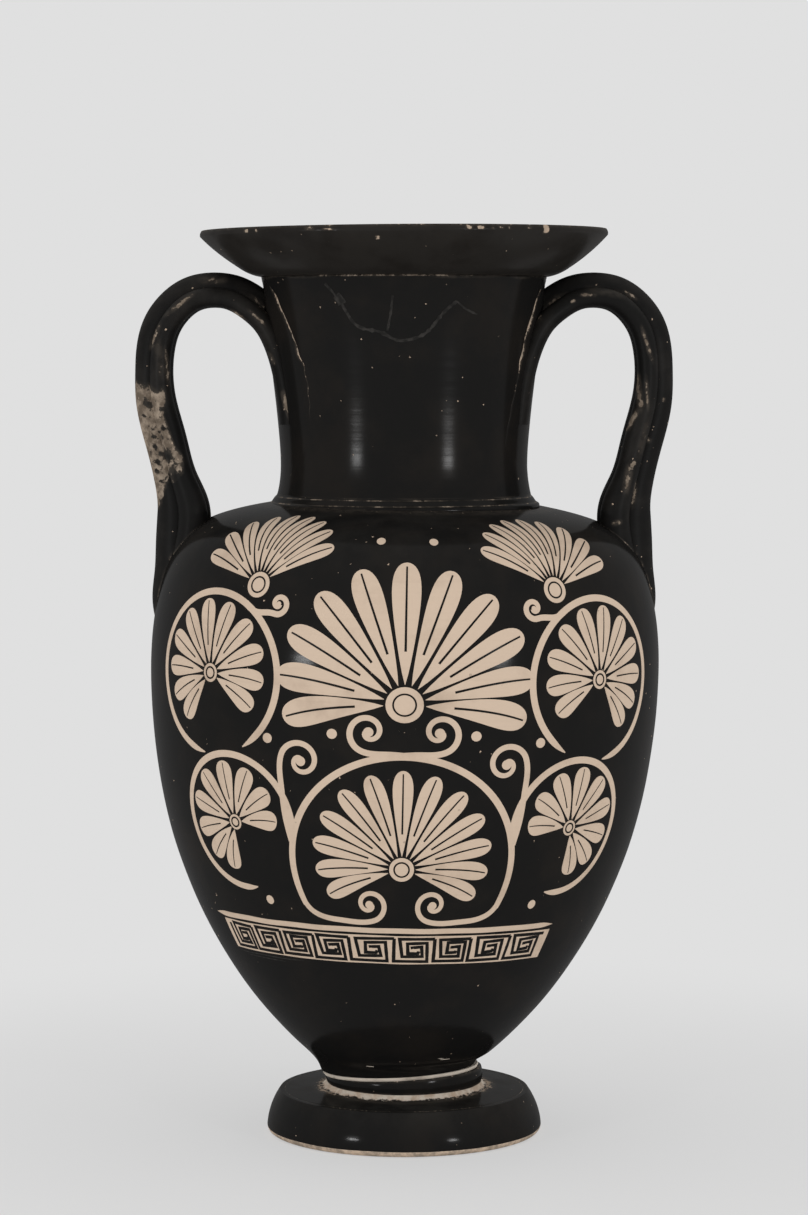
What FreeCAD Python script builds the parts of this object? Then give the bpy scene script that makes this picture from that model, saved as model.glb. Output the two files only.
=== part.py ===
"""A neck amphora: a wheel-thrown storage jar whose pieces are thrown apart and joined with clay slip.

Lengths are in millimetres. +Z is up, +X and -X point to the two handles, and -Y is the front.
The origin is the middle of the foot's resting face.

The potter throws the foot, the body, the neck and the mouth, beds them on slip, runs a collar round
the stem and a bead round the neck, and presses on two handles of three coils each. A wad of clay is
smeared round each handle's root on the neck. The body leans a little, and the slip beds take that up.
"""

import FreeCAD
import Part
import math
import os

Vector = FreeCAD.Vector
Z_AXIS = Vector(0, 0, 1)
Y_AXIS = Vector(0, 1, 0)
ORIGIN = Vector(0, 0, 0)

# Foot
foot_height = 17.2
foot_radius = 51.9
foot_rest_inset = 1.6
foot_edge_rounding = 2.4
foot_arris_inset = 4.9
foot_arris_drop = 1.6
foot_side_bulge = 1.0
foot_rim_width = 8.3
foot_recess_depth = 8.0
foot_recess_slope_width = 16.0

# Slip bed that shows as a pale ring on the foot
foot_bed_thickness = 1.2
foot_bed_skirt = 3.0

# Collar round the stem
collar_height = 4.3
collar_proud = 0.3
collar_bulge = 0.5
collar_bed_thickness = 1.2
collar_tilt_deg = 3.0
collar_pitch_deg = 2.3

# Body
body_height = 213.3
body_radius = 95.4
stem_radius = 28.9
body_wall = 5.2
floor_thickness = 11.0
shoulder_seat_width = 2.8
throat_ledge = 1.0
throat_depth = 5.0
body_lean_deg = 1.05
body_offset = 1.45
spigot_shoulder = 6.9
spigot_length = 9.5
socket_clearance = 0.3

# Neck
neck_bed_thickness = 1.3
neck_height = 83.1
neck_waist_radius = 46.1
neck_base_flare = 2.1
neck_top_flare = 7.2
neck_wall = 5.2
neck_bead_height = 3.5
neck_bead_proud = 2.2
neck_bead_rounding = 1.4

# Mouth
mouth_bed_thickness = 0.6
mouth_height = 17.8
mouth_flare = 22.8
mouth_seat_overhang = 0.4
mouth_heel_overhang = 8.5
mouth_heel_rise = 3.4
lip_height = 2.2
lip_width = 3.5

# Handles
handle_projection = 5.3
handle_thickness = 13.8
handle_headroom = 4.3
coil_pitch = 8.2
coil_half_width = 4.9
root_coil_pitch = 12.5
root_coil_half_width = 7.4
coil_joint_gap = 0.1

# Wads smeared round the handle roots on the neck
neck_wad_proud = 2.1
neck_wad_flattening = 4.3

# Every cut runs past what it cuts by this much
overrun = 5.0

# Body outline from the stem up: share of the body radius, share of the body height.
BODY_SHARES = (
    (0.3155, 0.0115),
    (0.3540, 0.0285),
    (0.4790, 0.0815),
    (0.5830, 0.1350),
    (0.6690, 0.1890),
    (0.7415, 0.2425),
    (0.8030, 0.2960),
    (0.8545, 0.3500),
    (0.8975, 0.4035),
    (0.9310, 0.4570),
    (0.9565, 0.5100),
    (0.9755, 0.5635),
    (0.9895, 0.6170),
    (0.9975, 0.6700),
    (1.0000, 0.7230),
    (0.9940, 0.7770),
    (0.9790, 0.8240),
    (0.9555, 0.8670),
)

# The shoulder above it: share of the way out from the neck's seat, share of the body height.
SHOULDER_SHARES = (
    (0.8260, 0.9090),
    (0.7099, 0.9430),
    (0.5488, 0.9675),
    (0.3489, 0.9835),
    (0.1577, 0.9935),
)

# The wall's inside follows the outline between these shares of the body height.
inside_lowest_share = 0.020
inside_highest_share = 0.990

# Neck outline between its base and its top: how far the radius has gone from the waist towards the
# top radius, and the share of the neck's height.
NECK_FLARE_SHARES = (
    (0.12, 0.065),
    (0.03, 0.130),
    (0.00, 0.215),
    (0.03, 0.330),
    (0.09, 0.450),
    (0.21, 0.590),
    (0.39, 0.740),
    (0.63, 0.870),
    (0.83, 0.950),
)

# The handle's root on the neck: how far its centreline lies inside the neck's waist as a share of the
# handle's thickness, share of the handle's rise, share of its thickness, share of the root's spread.
NECK_ROOT_SHARES = (
    (0.470, 0.380, 0.94, 1.00),
    (0.422, 0.492, 1.00, 1.00),
    (0.263, 0.645, 1.00, 0.86),
    (0.069, 0.752, 1.00, 0.66),
)

# The bend above it: share of the way from the neck's waist to the farthest reach, then as above.
NECK_LEG_SHARES = (
    (0.084, 0.866, 1.00, 0.42),
    (0.215, 0.937, 0.99, 0.20),
    (0.356, 0.984, 0.97, 0.07),
    (0.524, 1.000, 0.95, 0.00),
    (0.692, 0.982, 0.96, 0.00),
    (0.843, 0.917, 0.99, 0.00),
    (0.937, 0.835, 1.01, 0.00),
    (0.987, 0.729, 1.01, 0.00),
    (1.000, 0.621, 1.00, 0.00),
)

# The same on the way down: share of the body radius, then as above.
SHOULDER_LEG_SHARES = (
    (0.976, 0.482, 1.06, 0.00),
    (0.938, 0.296, 1.10, 0.05),
    (0.898, 0.109, 1.15, 0.18),
)

# The root on the shoulder: share of the body radius, share of the body height below the throat.
SHOULDER_ROOT_SHARES = (
    (0.870, 0.0100, 1.40, 0.42),
    (0.880, 0.0640, 1.36, 0.62),
    (0.915, 0.1200, 0.98, 0.72),
    (0.950, 0.1700, 0.58, 0.72),
    (0.941, 0.2130, 0.46, 0.60),
)

# The wad's lens: its half length and the level of its middle as shares of the neck's height, and its
# tilt as a share of the neck's own flare.
wad_length_share = 1.685
wad_level_share = 0.3911
wad_tilt_share = 0.606

# Across a handle, as shares of half its thickness: where a side coil's middle lies, how deep it is and
# how far the middle coil reaches inwards. The joints of the coils start and end at these turns of the oval.
side_coil_shift_share = -0.44
side_coil_depth_share = 0.56
middle_coil_under_share = 0.86
joint_outer_turn = math.radians(115)
joint_inner_turn = math.radians(205)
SECTION_STEPS = 8

# Radii that follow the pieces they fit
foot_rest_radius = foot_radius - foot_rest_inset
foot_arris_radius = foot_radius - foot_arris_inset
foot_recess_radius = foot_rest_radius - foot_rim_width
foot_recess_flat_radius = foot_recess_radius - foot_recess_slope_width
collar_radius = stem_radius + collar_proud
spigot_radius = stem_radius - spigot_shoulder
neck_base_radius = neck_waist_radius + neck_base_flare
neck_top_radius = neck_waist_radius + neck_top_flare
neck_bead_radius = neck_base_radius + neck_bead_proud
shoulder_seat_radius = neck_base_radius + shoulder_seat_width
throat_radius = neck_base_radius - neck_wall - throat_ledge
mouth_seat_radius = neck_top_radius + mouth_seat_overhang
mouth_heel_radius = neck_top_radius + mouth_heel_overhang
mouth_radius = neck_top_radius + mouth_flare
lip_inner_radius = mouth_radius - lip_width
handle_reach = body_radius + handle_projection - handle_thickness / 2

# Levels, from the table up
foot_top = foot_height
collar_base = foot_top + foot_bed_thickness
body_base = collar_base + collar_height + collar_bed_thickness
throat_level = body_base + body_height
neck_base = throat_level + neck_bed_thickness
neck_top = neck_base + neck_height
mouth_base = neck_top + mouth_bed_thickness
rim_level = mouth_base + mouth_height
handle_rise = neck_top - throat_level - handle_headroom


def at(radius, level):
    """A point of an outline, on the XZ plane."""
    return Vector(radius, 0, level)


def line(start, end):
    return Part.LineSegment(start, end).toShape()


def arc(start, middle, end):
    return Part.Arc(start, middle, end).toShape()


def smooth(points):
    """One smooth curve through the points."""
    curve = Part.BSplineCurve()
    curve.interpolate(points)
    return curve


def turned(edges):
    """The solid that a closed outline sweeps round the Z axis."""
    face = Part.Face(Part.Wire(edges))
    solid = face.revolve(ORIGIN, Z_AXIS, 360)
    return Part.Solid(solid) if solid.ShapeType != "Solid" else solid


def ring(inner, outer, bottom, top):
    """A plain flat ring."""
    tall = top - bottom
    return Part.makeCylinder(outer, tall, at(0, bottom)).cut(Part.makeCylinder(inner, tall, at(0, bottom)))


def one_solid(shape):
    """The largest solid of a cut, without the crumbs."""
    return max(shape.Solids, key=lambda solid: solid.Volume)


def under_the_stem(drop):
    """All that lies under the slanted plane of the stem's joint, moved down by drop."""
    reach = 2 * body_radius
    block = Part.makeBox(2 * reach, 2 * reach, reach, Vector(-reach, -reach, -reach))
    block.rotate(ORIGIN, Y_AXIS, -collar_tilt_deg)
    block.rotate(ORIGIN, Vector(1, 0, 0), -collar_pitch_deg)
    block.translate(at(0, body_base - drop))
    return block


def leaned(shape):
    """The body stands a little aslant, turned about the middle of its throat."""
    shape = shape.copy()
    shape.rotate(at(0, throat_level), Y_AXIS, body_lean_deg)
    shape.translate(Vector(body_offset, 0, 0))
    return shape


def body_outline():
    """The body's outer curve, from the stem to the seat of the neck."""
    way_out = body_radius - shoulder_seat_radius
    points = [at(stem_radius, body_base)]
    points += [at(body_radius * across, body_base + body_height * up) for across, up in BODY_SHARES]
    for out, up in SHOULDER_SHARES:
        points.append(at(shoulder_seat_radius + way_out * out, body_base + body_height * up))
    points.append(at(shoulder_seat_radius, throat_level))
    return smooth(points), points


def body_envelope():
    """The body as if it were full of clay, with its stem carried down past the joint."""
    curve, points = body_outline()
    foot_of_stem = at(stem_radius, body_base - overrun)
    axis_top = at(0, throat_level)
    axis_foot = at(0, body_base - overrun)
    edges = [line(axis_foot, foot_of_stem), line(foot_of_stem, points[0]), curve.toShape()]
    edges += [line(points[-1], axis_top), line(axis_top, axis_foot)]
    return leaned(turned(edges))


def body_hollow():
    """The space inside the body: the outer curve set in by the wall, over a flat floor."""
    curve, points = body_outline()
    lowest = body_base + body_height * inside_lowest_share
    highest = body_base + body_height * inside_highest_share
    inside = []
    for point in points:
        if not lowest < point.z < highest:
            continue
        along = curve.tangent(curve.parameter(point))[0]
        inward = Vector(-along.z, 0, along.x)
        inside.append(point + inward * body_wall)
    inside.append(at(throat_radius, throat_level - throat_depth))
    lip = at(throat_radius, throat_level + overrun)
    axis_top = at(0, throat_level + overrun)
    axis_foot = at(0, inside[0].z)
    edges = [line(axis_foot, inside[0]), smooth(inside).toShape(), line(inside[-1], lip)]
    edges += [line(lip, axis_top), line(axis_top, axis_foot)]
    floor = at(0, body_base + floor_thickness)
    above_floor = Part.makeCylinder(2 * body_radius, body_height, floor)
    return leaned(turned(edges).common(above_floor))


def spigot(clearance):
    """The plug under the body that goes down through the collar into the foot."""
    top = body_base + overrun
    bottom = body_base - spigot_length - clearance
    return Part.makeCylinder(spigot_radius + clearance, top - bottom, at(0, bottom))


def make_body():
    shell = body_envelope().cut(under_the_stem(0)).fuse(spigot(0))
    return one_solid(shell.cut(body_hollow()).removeSplitter())


def make_foot():
    """A broad disc with a curved side, a sharp arris round its top and a hollow under it."""
    arris_level = foot_top - foot_arris_drop
    widest = at(foot_radius, foot_edge_rounding)
    rest = at(foot_rest_radius, 0)
    arris = at(foot_arris_radius, arris_level)
    side = at((foot_radius + foot_arris_radius) / 2 + foot_side_bulge, (foot_edge_rounding + arris_level) / 2)
    edge_in = (foot_radius - foot_rest_radius) / 4
    edge = arc(rest, at(foot_radius - edge_in, foot_edge_rounding / 3), widest)
    socket_top = at(spigot_radius, foot_top)
    recess_edge = at(foot_recess_radius, 0)
    recess_flat = at(foot_recess_flat_radius, foot_recess_depth)
    recess_middle = at(0, foot_recess_depth)
    axis_top = at(0, foot_top)
    edges = [edge, arc(widest, side, arris), line(arris, socket_top), line(socket_top, axis_top)]
    edges += [line(axis_top, recess_middle), line(recess_middle, recess_flat)]
    edges += [line(recess_flat, recess_edge), line(recess_edge, rest)]
    return one_solid(turned(edges).cut(spigot(socket_clearance)))


def collar_outline(top):
    """The collar's section: upright, with a slightly full side."""
    inner = spigot_radius + socket_clearance
    low, high = at(collar_radius, collar_base), at(collar_radius, top)
    full = at(collar_radius + collar_bulge, (collar_base + top) / 2)
    return [
        line(at(inner, collar_base), low),
        arc(low, full, high),
        line(high, at(inner, top)),
        line(at(inner, top), at(inner, collar_base)),
    ]


def make_collar():
    """The band round the stem, cut off on the slant where the body's slip bed lies on it."""
    tall = turned(collar_outline(body_base + overrun))
    return one_solid(tall.common(under_the_stem(collar_bed_thickness)))


def make_collar_bed():
    """The pale slip between the collar and the body, as thick all round."""
    inner = spigot_radius + socket_clearance
    tall = ring(inner, stem_radius, collar_base, body_base + overrun)
    slab = tall.common(under_the_stem(0)).cut(under_the_stem(collar_bed_thickness))
    return one_solid(slab)


def make_foot_bed():
    """The pale slip under the collar, squeezed out past it on to the foot."""
    inner = spigot_radius + socket_clearance
    skirt = collar_radius + foot_bed_skirt
    fall = foot_arris_drop * (skirt - spigot_radius) / (foot_arris_radius - spigot_radius)
    corners = [
        at(inner, collar_base),
        at(inner, foot_top - foot_bed_thickness),
        at(skirt, foot_top - foot_bed_thickness),
        at(skirt, foot_top - fall + foot_bed_thickness / 4),
        at(collar_radius, collar_base),
    ]
    edges = [line(a, b) for a, b in zip(corners, corners[1:] + corners[:1])]
    return one_solid(turned(edges).cut(make_foot()))


def neck_outline(set_in=0.0):
    """The neck's curve from base to top, set in by a wall if asked."""
    points = [at(neck_base_radius, neck_base)]
    for out, up in NECK_FLARE_SHARES:
        points.append(at(neck_waist_radius + neck_top_flare * out, neck_base + neck_height * up))
    points.append(at(neck_top_radius, neck_top))
    points = [point - at(set_in, 0) for point in points]
    return smooth(points), points


def neck_envelope():
    """The neck as if it were full of clay."""
    curve, points = neck_outline()
    edges = [line(at(0, neck_base), points[0]), curve.toShape()]
    edges += [line(points[-1], at(0, neck_top)), line(at(0, neck_top), at(0, neck_base))]
    return turned(edges)


def make_neck():
    outer, outside = neck_outline()
    inner, inside = neck_outline(neck_wall)
    edges = [outer.toShape(), line(outside[-1], inside[-1]), inner.toShape(), line(inside[0], outside[0])]
    return turned(edges)


def make_neck_bed():
    """The slip wedge that levels the neck on the leaning body."""
    bed = ring(neck_base_radius - neck_wall, neck_base_radius, throat_level - overrun, neck_base)
    return one_solid(bed.cut(body_envelope()))


def make_neck_bead():
    """The raised bead that covers the joint of neck and body."""
    inner = neck_waist_radius - neck_wall / 2
    top = throat_level + neck_bead_height
    bottom = throat_level - overrun
    shoulder = at(neck_bead_radius, top - neck_bead_rounding)
    crest = at(neck_bead_radius - neck_bead_rounding, top)
    bend = neck_bead_rounding * (1 - math.sqrt(0.5))
    edges = [
        line(at(inner, bottom), at(neck_bead_radius, bottom)),
        line(at(neck_bead_radius, bottom), shoulder),
        arc(shoulder, at(neck_bead_radius - bend, top - bend), crest),
        line(crest, at(inner, top)),
        line(at(inner, top), at(inner, bottom)),
    ]
    bead = turned(edges).cut(body_envelope()).cut(neck_envelope()).cut(make_neck_bed())
    return one_solid(bead)


def make_mouth_bed():
    """The thin slip bed between the neck and the mouth."""
    return ring(neck_top_radius - neck_wall, neck_top_radius, neck_top, mouth_base)


def make_mouth():
    """A deep flaring rim: a rounded heel, a nearly straight side and a narrow flat lip."""
    lip_root = at(mouth_radius, rim_level - lip_height)
    lip_outer = at(mouth_radius - lip_height / 4, rim_level)
    heel = at(mouth_heel_radius, mouth_base + mouth_heel_rise)
    heel_bend = at((mouth_seat_radius + mouth_heel_radius) / 2, mouth_base + mouth_heel_rise / 3)
    side_bulge = mouth_heel_rise / 8
    side_middle = (heel + lip_root) * 0.5 + Vector(side_bulge, 0, -side_bulge)
    inner_base = at(neck_top_radius - neck_wall, mouth_base)
    lip_inner = at(lip_inner_radius, rim_level)
    inner_middle = (inner_base + lip_inner) * 0.5 + Vector(side_bulge, 0, -side_bulge)
    seat = at(mouth_seat_radius, mouth_base)
    edges = [
        arc(seat, heel_bend, heel),
        arc(heel, side_middle, lip_root),
        arc(lip_root, at(mouth_radius, rim_level - lip_height / 2), lip_outer),
        line(lip_outer, lip_inner),
        arc(lip_inner, inner_middle, inner_base),
        line(inner_base, seat),
    ]
    return turned(edges)


def handle_stations():
    """Where the handle's centreline passes: distance from the axis, level, half thickness, spread."""
    half = handle_thickness / 2
    out = handle_reach - neck_waist_radius
    rows = [
        (neck_waist_radius - handle_thickness * inside, throat_level + handle_rise * up, half * thick, spread)
        for inside, up, thick, spread in NECK_ROOT_SHARES
    ]
    rows += [
        (neck_waist_radius + out * across, throat_level + handle_rise * up, half * thick, spread)
        for across, up, thick, spread in NECK_LEG_SHARES
    ]
    rows += [
        (body_radius * across, throat_level + handle_rise * up, half * thick, spread)
        for across, up, thick, spread in SHOULDER_LEG_SHARES
    ]
    rows += [
        (body_radius * across, throat_level - body_height * down, half * thick, spread)
        for across, down, thick, spread in SHOULDER_ROOT_SHARES
    ]
    return rows


def coil_section(place, point, outward, half, spread):
    """One section of a coil. The side coils are ovals cut flat where they lie against the middle one,
    whose two flats end in the same places."""
    aside = coil_pitch + spread * (root_coil_pitch - coil_pitch)
    width = coil_half_width + spread * (root_coil_half_width - coil_half_width)

    def put(across, out):
        return point + Y_AXIS * across + outward * out

    def on_oval(turn):
        out = half * (side_coil_shift_share + side_coil_depth_share * math.sin(turn))
        return aside + width * math.cos(turn), out

    groove, groove_out = on_oval(joint_outer_turn)
    inner_groove, inner_groove_out = on_oval(joint_inner_turn)
    if place == 0:
        corners = [put(groove, groove_out), put(-groove, groove_out)]
        corners += [put(-inner_groove, inner_groove_out), put(inner_groove, inner_groove_out)]
        crown = arc(corners[0], put(0, half), corners[1])
        under = arc(corners[2], put(0, -half * middle_coil_under_share), corners[3])
        return Part.Wire([crown, line(corners[1], corners[2]), under, line(corners[3], corners[0])])
    sweep = joint_inner_turn - 2 * math.pi - joint_outer_turn
    turns = [joint_outer_turn + sweep * step / SECTION_STEPS for step in range(SECTION_STEPS + 1)]
    oval = [on_oval(turn) for turn in turns]
    points = [put(place * (across + coil_joint_gap), out) for across, out in oval]
    return Part.Wire([smooth(points).toShape(), line(points[-1], points[0])])


def coil(place):
    """One clay coil of the right handle. place is -1 for the front, 0 for the middle, 1 for the back."""
    rows = handle_stations()
    path = smooth([at(across, level) for across, level, _, _ in rows])
    sections = []
    for across, level, half, spread in rows:
        point = at(across, level)
        along = path.tangent(path.parameter(point))[0]
        sections.append(coil_section(place, point, Vector(-along.z, 0, along.x), half, spread))
    return Part.makeLoft(sections, True, False)


def neck_wad(neck):
    """A wad of clay between the neck and the right handle: a long lens that dies into the neck."""
    ball = Part.makeSphere(1)
    ball.rotate(ORIGIN, Z_AXIS, 180)
    stretch = FreeCAD.Matrix()
    half_thick = neck_waist_radius + neck_wad_proud
    stretch.scale(half_thick, half_thick - neck_wad_flattening, neck_height * wad_length_share)
    lens = ball.transformGeometry(stretch)
    flare_angle = math.degrees(math.atan2(neck_top_flare, neck_height))
    lens.rotate(ORIGIN, Y_AXIS, flare_angle * wad_tilt_share)
    lens.translate(at(0, throat_level + neck_height * wad_level_share))
    tall = neck_top - neck_base - 2 * overrun
    keep = Part.makeBox(body_radius, 2 * body_radius, tall, Vector(overrun, -body_radius, neck_base + overrun))
    return one_solid(lens.common(keep).cut(neck))


def to_the_left(shape):
    """The same piece for the left handle."""
    return shape.mirror(ORIGIN, Vector(1, 0, 0))


def make_handles():
    """Both handles and their wads. The body leans, so each side's coils are cut to it by themselves."""
    pieces = {}
    neck = neck_envelope()
    body = body_envelope()
    wad = neck_wad(neck)
    places = {"front": -1, "middle": 0, "back": 1}
    for side in ("left", "right"):
        shoulder = to_the_left(body) if side == "left" else body
        fitted = {"neck_wad": wad}
        for name, place in places.items():
            fitted[f"handle_{name}_coil"] = one_solid(coil(place).cut(neck).cut(shoulder).cut(wad))
        for name, shape in fitted.items():
            pieces[f"{side}_{name}"] = to_the_left(shape) if side == "left" else shape
    return pieces


def make_all():
    pieces = {
        "foot": make_foot(),
        "foot_slip_bed": make_foot_bed(),
        "collar": make_collar(),
        "collar_slip_bed": make_collar_bed(),
        "body": make_body(),
        "neck_slip_bed": make_neck_bed(),
        "neck": make_neck(),
        "neck_bead": make_neck_bead(),
        "mouth_slip_bed": make_mouth_bed(),
        "mouth": make_mouth(),
    }
    pieces.update(make_handles())
    return pieces


def main():
    os.makedirs("parts", exist_ok=True)
    for name, shape in make_all().items():
        box = shape.BoundBox
        print(f"{name}: {shape.Volume:.0f} mm3, valid {shape.isValid()}, {len(shape.Solids)} solid, "
              f"z {box.ZMin:.1f} to {box.ZMax:.1f}")
        shape.exportStep(f"parts/{name}.step")


main()
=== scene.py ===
# %% [markdown]
# # Dressing a neck amphora
# A CAD model gives the jar its real size and its pieces. This lesson puts a visible skin over them: thrown
# clay with a black gloss, a reserved ornament, worn seams and a studio to look at it in. All lengths here are
# millimetres until a mesh is made, because that is how a potter's sizes are written down.

import math
from functools import partial

import bpy
import numpy as np
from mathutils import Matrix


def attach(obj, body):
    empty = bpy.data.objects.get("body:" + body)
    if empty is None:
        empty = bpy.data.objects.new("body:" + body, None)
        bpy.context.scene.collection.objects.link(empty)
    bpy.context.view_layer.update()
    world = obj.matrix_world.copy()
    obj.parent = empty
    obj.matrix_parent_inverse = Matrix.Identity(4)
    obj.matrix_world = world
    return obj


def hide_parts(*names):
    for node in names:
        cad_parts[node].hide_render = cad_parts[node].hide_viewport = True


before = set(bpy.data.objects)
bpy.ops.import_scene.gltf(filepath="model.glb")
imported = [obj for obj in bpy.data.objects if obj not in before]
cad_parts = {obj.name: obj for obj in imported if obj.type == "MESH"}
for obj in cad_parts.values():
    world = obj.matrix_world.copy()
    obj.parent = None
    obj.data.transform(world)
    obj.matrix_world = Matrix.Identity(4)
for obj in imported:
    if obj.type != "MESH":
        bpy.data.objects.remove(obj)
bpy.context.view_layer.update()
MM = 0.001

# %% [markdown]
# ## The camera
# The jar was photographed from a little above its shoulder with a long lens, which keeps its proportions
# natural. The distance and the lens were worked out from how much the circles of foot and rim flatten.

# %% Camera
camera_distance = 1370.0
camera_height = 297.4
camera_pitch = math.radians(4.1385)
lens_length = 108.15


def into_scene(name, data):
    """An object with that data, linked to the scene."""
    made = bpy.data.objects.new(name, data)
    bpy.context.scene.collection.objects.link(made)
    return made


camera = into_scene("camera", bpy.data.cameras.new("camera"))
camera.data.lens = lens_length
camera.location = (0, -camera_distance * MM, camera_height * MM)
camera.rotation_euler = (math.pi / 2 - camera_pitch, 0, 0)
bpy.context.scene.camera = camera
print("camera at", tuple(round(v, 3) for v in camera.location))

# %% [markdown]
# ## Lines and curves
# A thrown pot is one profile turned on a wheel, so most pieces start as a curve in two columns, radius and
# height. A cubic spline gives the same flowing line as a bent strip of wood. Sharp edges and rounded corners
# are straight runs (np.linspace) and arcs, put end to end.

# %% Curves through points
def distance_along(points):
    """How far along a line each of its points lies: the running sum of its steps."""
    steps = np.linalg.norm(np.diff(points, axis=0), axis=1)
    return np.concatenate([[0], np.cumsum(steps)])


def smooth_through(points, count, spacing=None):
    """A natural cubic spline: between two points it is their straight line plus a cubic bulge that makes
    slope and bend run on unbroken. spacing, one number per point, says how far along each point lies."""
    points = np.asarray(points, float)
    if spacing is None:
        spacing = distance_along(points)
    gap = np.diff(spacing)
    size = len(points)
    row = np.arange(1, size - 1)
    matrix = np.eye(size)
    matrix[row, row - 1] = gap[:-1]
    matrix[row, row] = 2 * (gap[:-1] + gap[1:])
    matrix[row, row + 1] = gap[1:]
    bend = np.zeros_like(points)
    bend[1:-1] = 6 * np.diff(np.diff(points, axis=0) / gap[:, None], axis=0)
    bend = np.linalg.solve(matrix, bend)
    place = np.linspace(0, spacing[-1], count)
    k = np.clip(np.searchsorted(spacing, place, side="right") - 1, 0, size - 2)
    b = ((place - spacing[k]) / gap[k])[:, None]
    a = 1 - b
    bulge = ((a**3 - a) * bend[k] + (b**3 - b) * bend[k + 1]) * (gap[k] ** 2 / 6)[:, None]
    return a * points[k] + b * points[k + 1] + bulge


def arc_through(start, middle, end, count):
    """The arc of the circle through three points: its centre is as far from all three, and the arc turns
    from the first to the last past the middle one."""
    start, middle, end = (np.asarray(p, float) for p in (start, middle, end))
    sides = 2 * np.array([middle - start, end - start])
    centre = np.linalg.solve(sides, [middle @ middle - start @ start, end @ end - start @ start])
    first, half, last = (math.atan2(*(p - centre)[::-1]) for p in (start, middle, end))
    sweep = (last - first) % (2 * math.pi)
    if (half - first) % (2 * math.pi) > sweep:
        sweep -= 2 * math.pi
    turn = first + sweep * np.linspace(0, 1, count)
    return centre + np.linalg.norm(start - centre) * np.stack([np.cos(turn), np.sin(turn)], 1)


def chained(*runs):
    """Runs put end to end. A point that only repeats the last one is dropped."""
    points = np.concatenate([np.atleast_2d(run) for run in runs])
    moved = np.linalg.norm(np.diff(points, axis=0), axis=1) > 1e-6
    return points[np.concatenate([[True], moved])]


def smoothstep(low, high, value):
    """0 below low, 1 above high, and an S-curve 3t^2 - 2t^3 between."""
    t = np.clip((value - low) / (high - low), 0, 1)
    return t * t * (3 - 2 * t)


def bell(offset, width):
    """1 where the offset is 0, and e to the minus (offset / width)^2 beside it."""
    return np.exp(-((offset / width) ** 2))


def ripple(azimuth, height, seed, waves=9, finest=12):
    """A smooth uneven field between about -1 and 1: a sum of sines round the pot and up it, each with its
    own count, pitch and phase. It closes on itself after one turn."""
    draw = np.random.default_rng(seed)
    total = np.zeros(np.broadcast(azimuth, height).shape)
    for _ in range(waves):
        around = draw.integers(1, finest)
        pitch = draw.uniform(0.02, 0.25)
        total += np.sin(around * azimuth + pitch * height + draw.uniform(0, 2 * math.pi))
    return total / math.sqrt(waves * 2)


def azimuths(segments=384):
    return np.linspace(0, 2 * math.pi, segments, endpoint=False)


def level_ripple(seed, waves, finest, azimuth=azimuths()):
    """The ripple along one level ring."""
    return ripple(azimuth, 0 * azimuth, seed, waves, finest)


def wheel_ridges(azimuth, level, *kinds):
    """Ridges of the wheel, a ripple for each kind: depth, squeeze along the height, seed, waves, finest."""
    return sum(depth * ripple(azimuth, level * squeeze, *rest) for depth, squeeze, *rest in kinds)


print("curve helpers ready, a ring has", azimuths().shape, "points")

# %% [markdown]
# ## From arrays to a mesh
# Every surface is a grid of points. Neighbours on the grid make a face, and a grid that closes on itself
# both ways needs nothing else. A tube is closed by a fan of triangles at each end, round a pole, and a
# profile that ends on the wheel's axis has its poles there. If the volume comes out negative, the faces look
# inwards and are turned round.

# %% Grids, poles and pieces
def grid_faces(rows, columns, close_rows=False, close_columns=True):
    """Four corners of each cell of a grid whose point (i, j) has the number i * columns + j. A side that
    isn't closed has one cell fewer."""
    i, j = np.indices((rows - (not close_rows), columns - (not close_columns))).reshape(2, -1)
    below, right = (i + 1) % rows, (j + 1) % columns
    return np.stack([i * columns + j, below * columns + j, below * columns + right, i * columns + right], 1)


def fan_faces(ring, pole):
    """Triangles from a closed ring of point numbers to one pole."""
    return np.stack([ring, np.roll(ring, -1), np.full(len(ring), pole)], 1)


def capped(tubes, poles=None):
    """Points and faces of tubes (..., rows, columns, 3) that are closed at both ends by a fan round a pole,
    the middle of the end row where none is given. Each tube adds rows * columns + 2 points."""
    tubes = tubes.reshape(-1, *tubes.shape[-3:])
    count, rows, columns = tubes.shape[:3]
    poles = tubes[:, [0, -1]].mean(-2) if poles is None else poles[None]
    points = np.concatenate([tubes.reshape(count, -1, 3), poles], 1)
    total = rows * columns
    first, last = np.arange(columns), np.arange(total - columns, total)[::-1]
    fans = np.concatenate([fan_faces(first, total), fan_faces(last, total + 1)])
    shift = (np.arange(count) * (total + 2))[:, None, None]
    quads = grid_faces(rows, columns)
    return points.reshape(-1, 3), [(quads + shift).reshape(-1, 4), (fans + shift).reshape(-1, 3)]


def turned(profile, segments):
    """A profile of (radius, height) turned once round the Z axis: x = r sin a, y = -r cos a, with a = 0 at
    the front. Gives the grid of points and its azimuths."""
    azimuth = azimuths(segments)
    radius, height = profile[:, :1], profile[:, 1:]
    grid = np.stack([radius * np.sin(azimuth), -radius * np.cos(azimuth), height + 0 * azimuth], -1)
    return grid, azimuth


def closed_ring(grid):
    """A turned grid whose profile closes on itself."""
    return grid.reshape(-1, 3), [grid_faces(*grid.shape[:2], close_rows=True)]


def closed_on_axis(grid):
    """A turned grid whose profile begins and ends on the axis, where each end row melts into one pole."""
    return capped(grid[1:-1], grid[[0, -1]].mean(axis=1))


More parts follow.
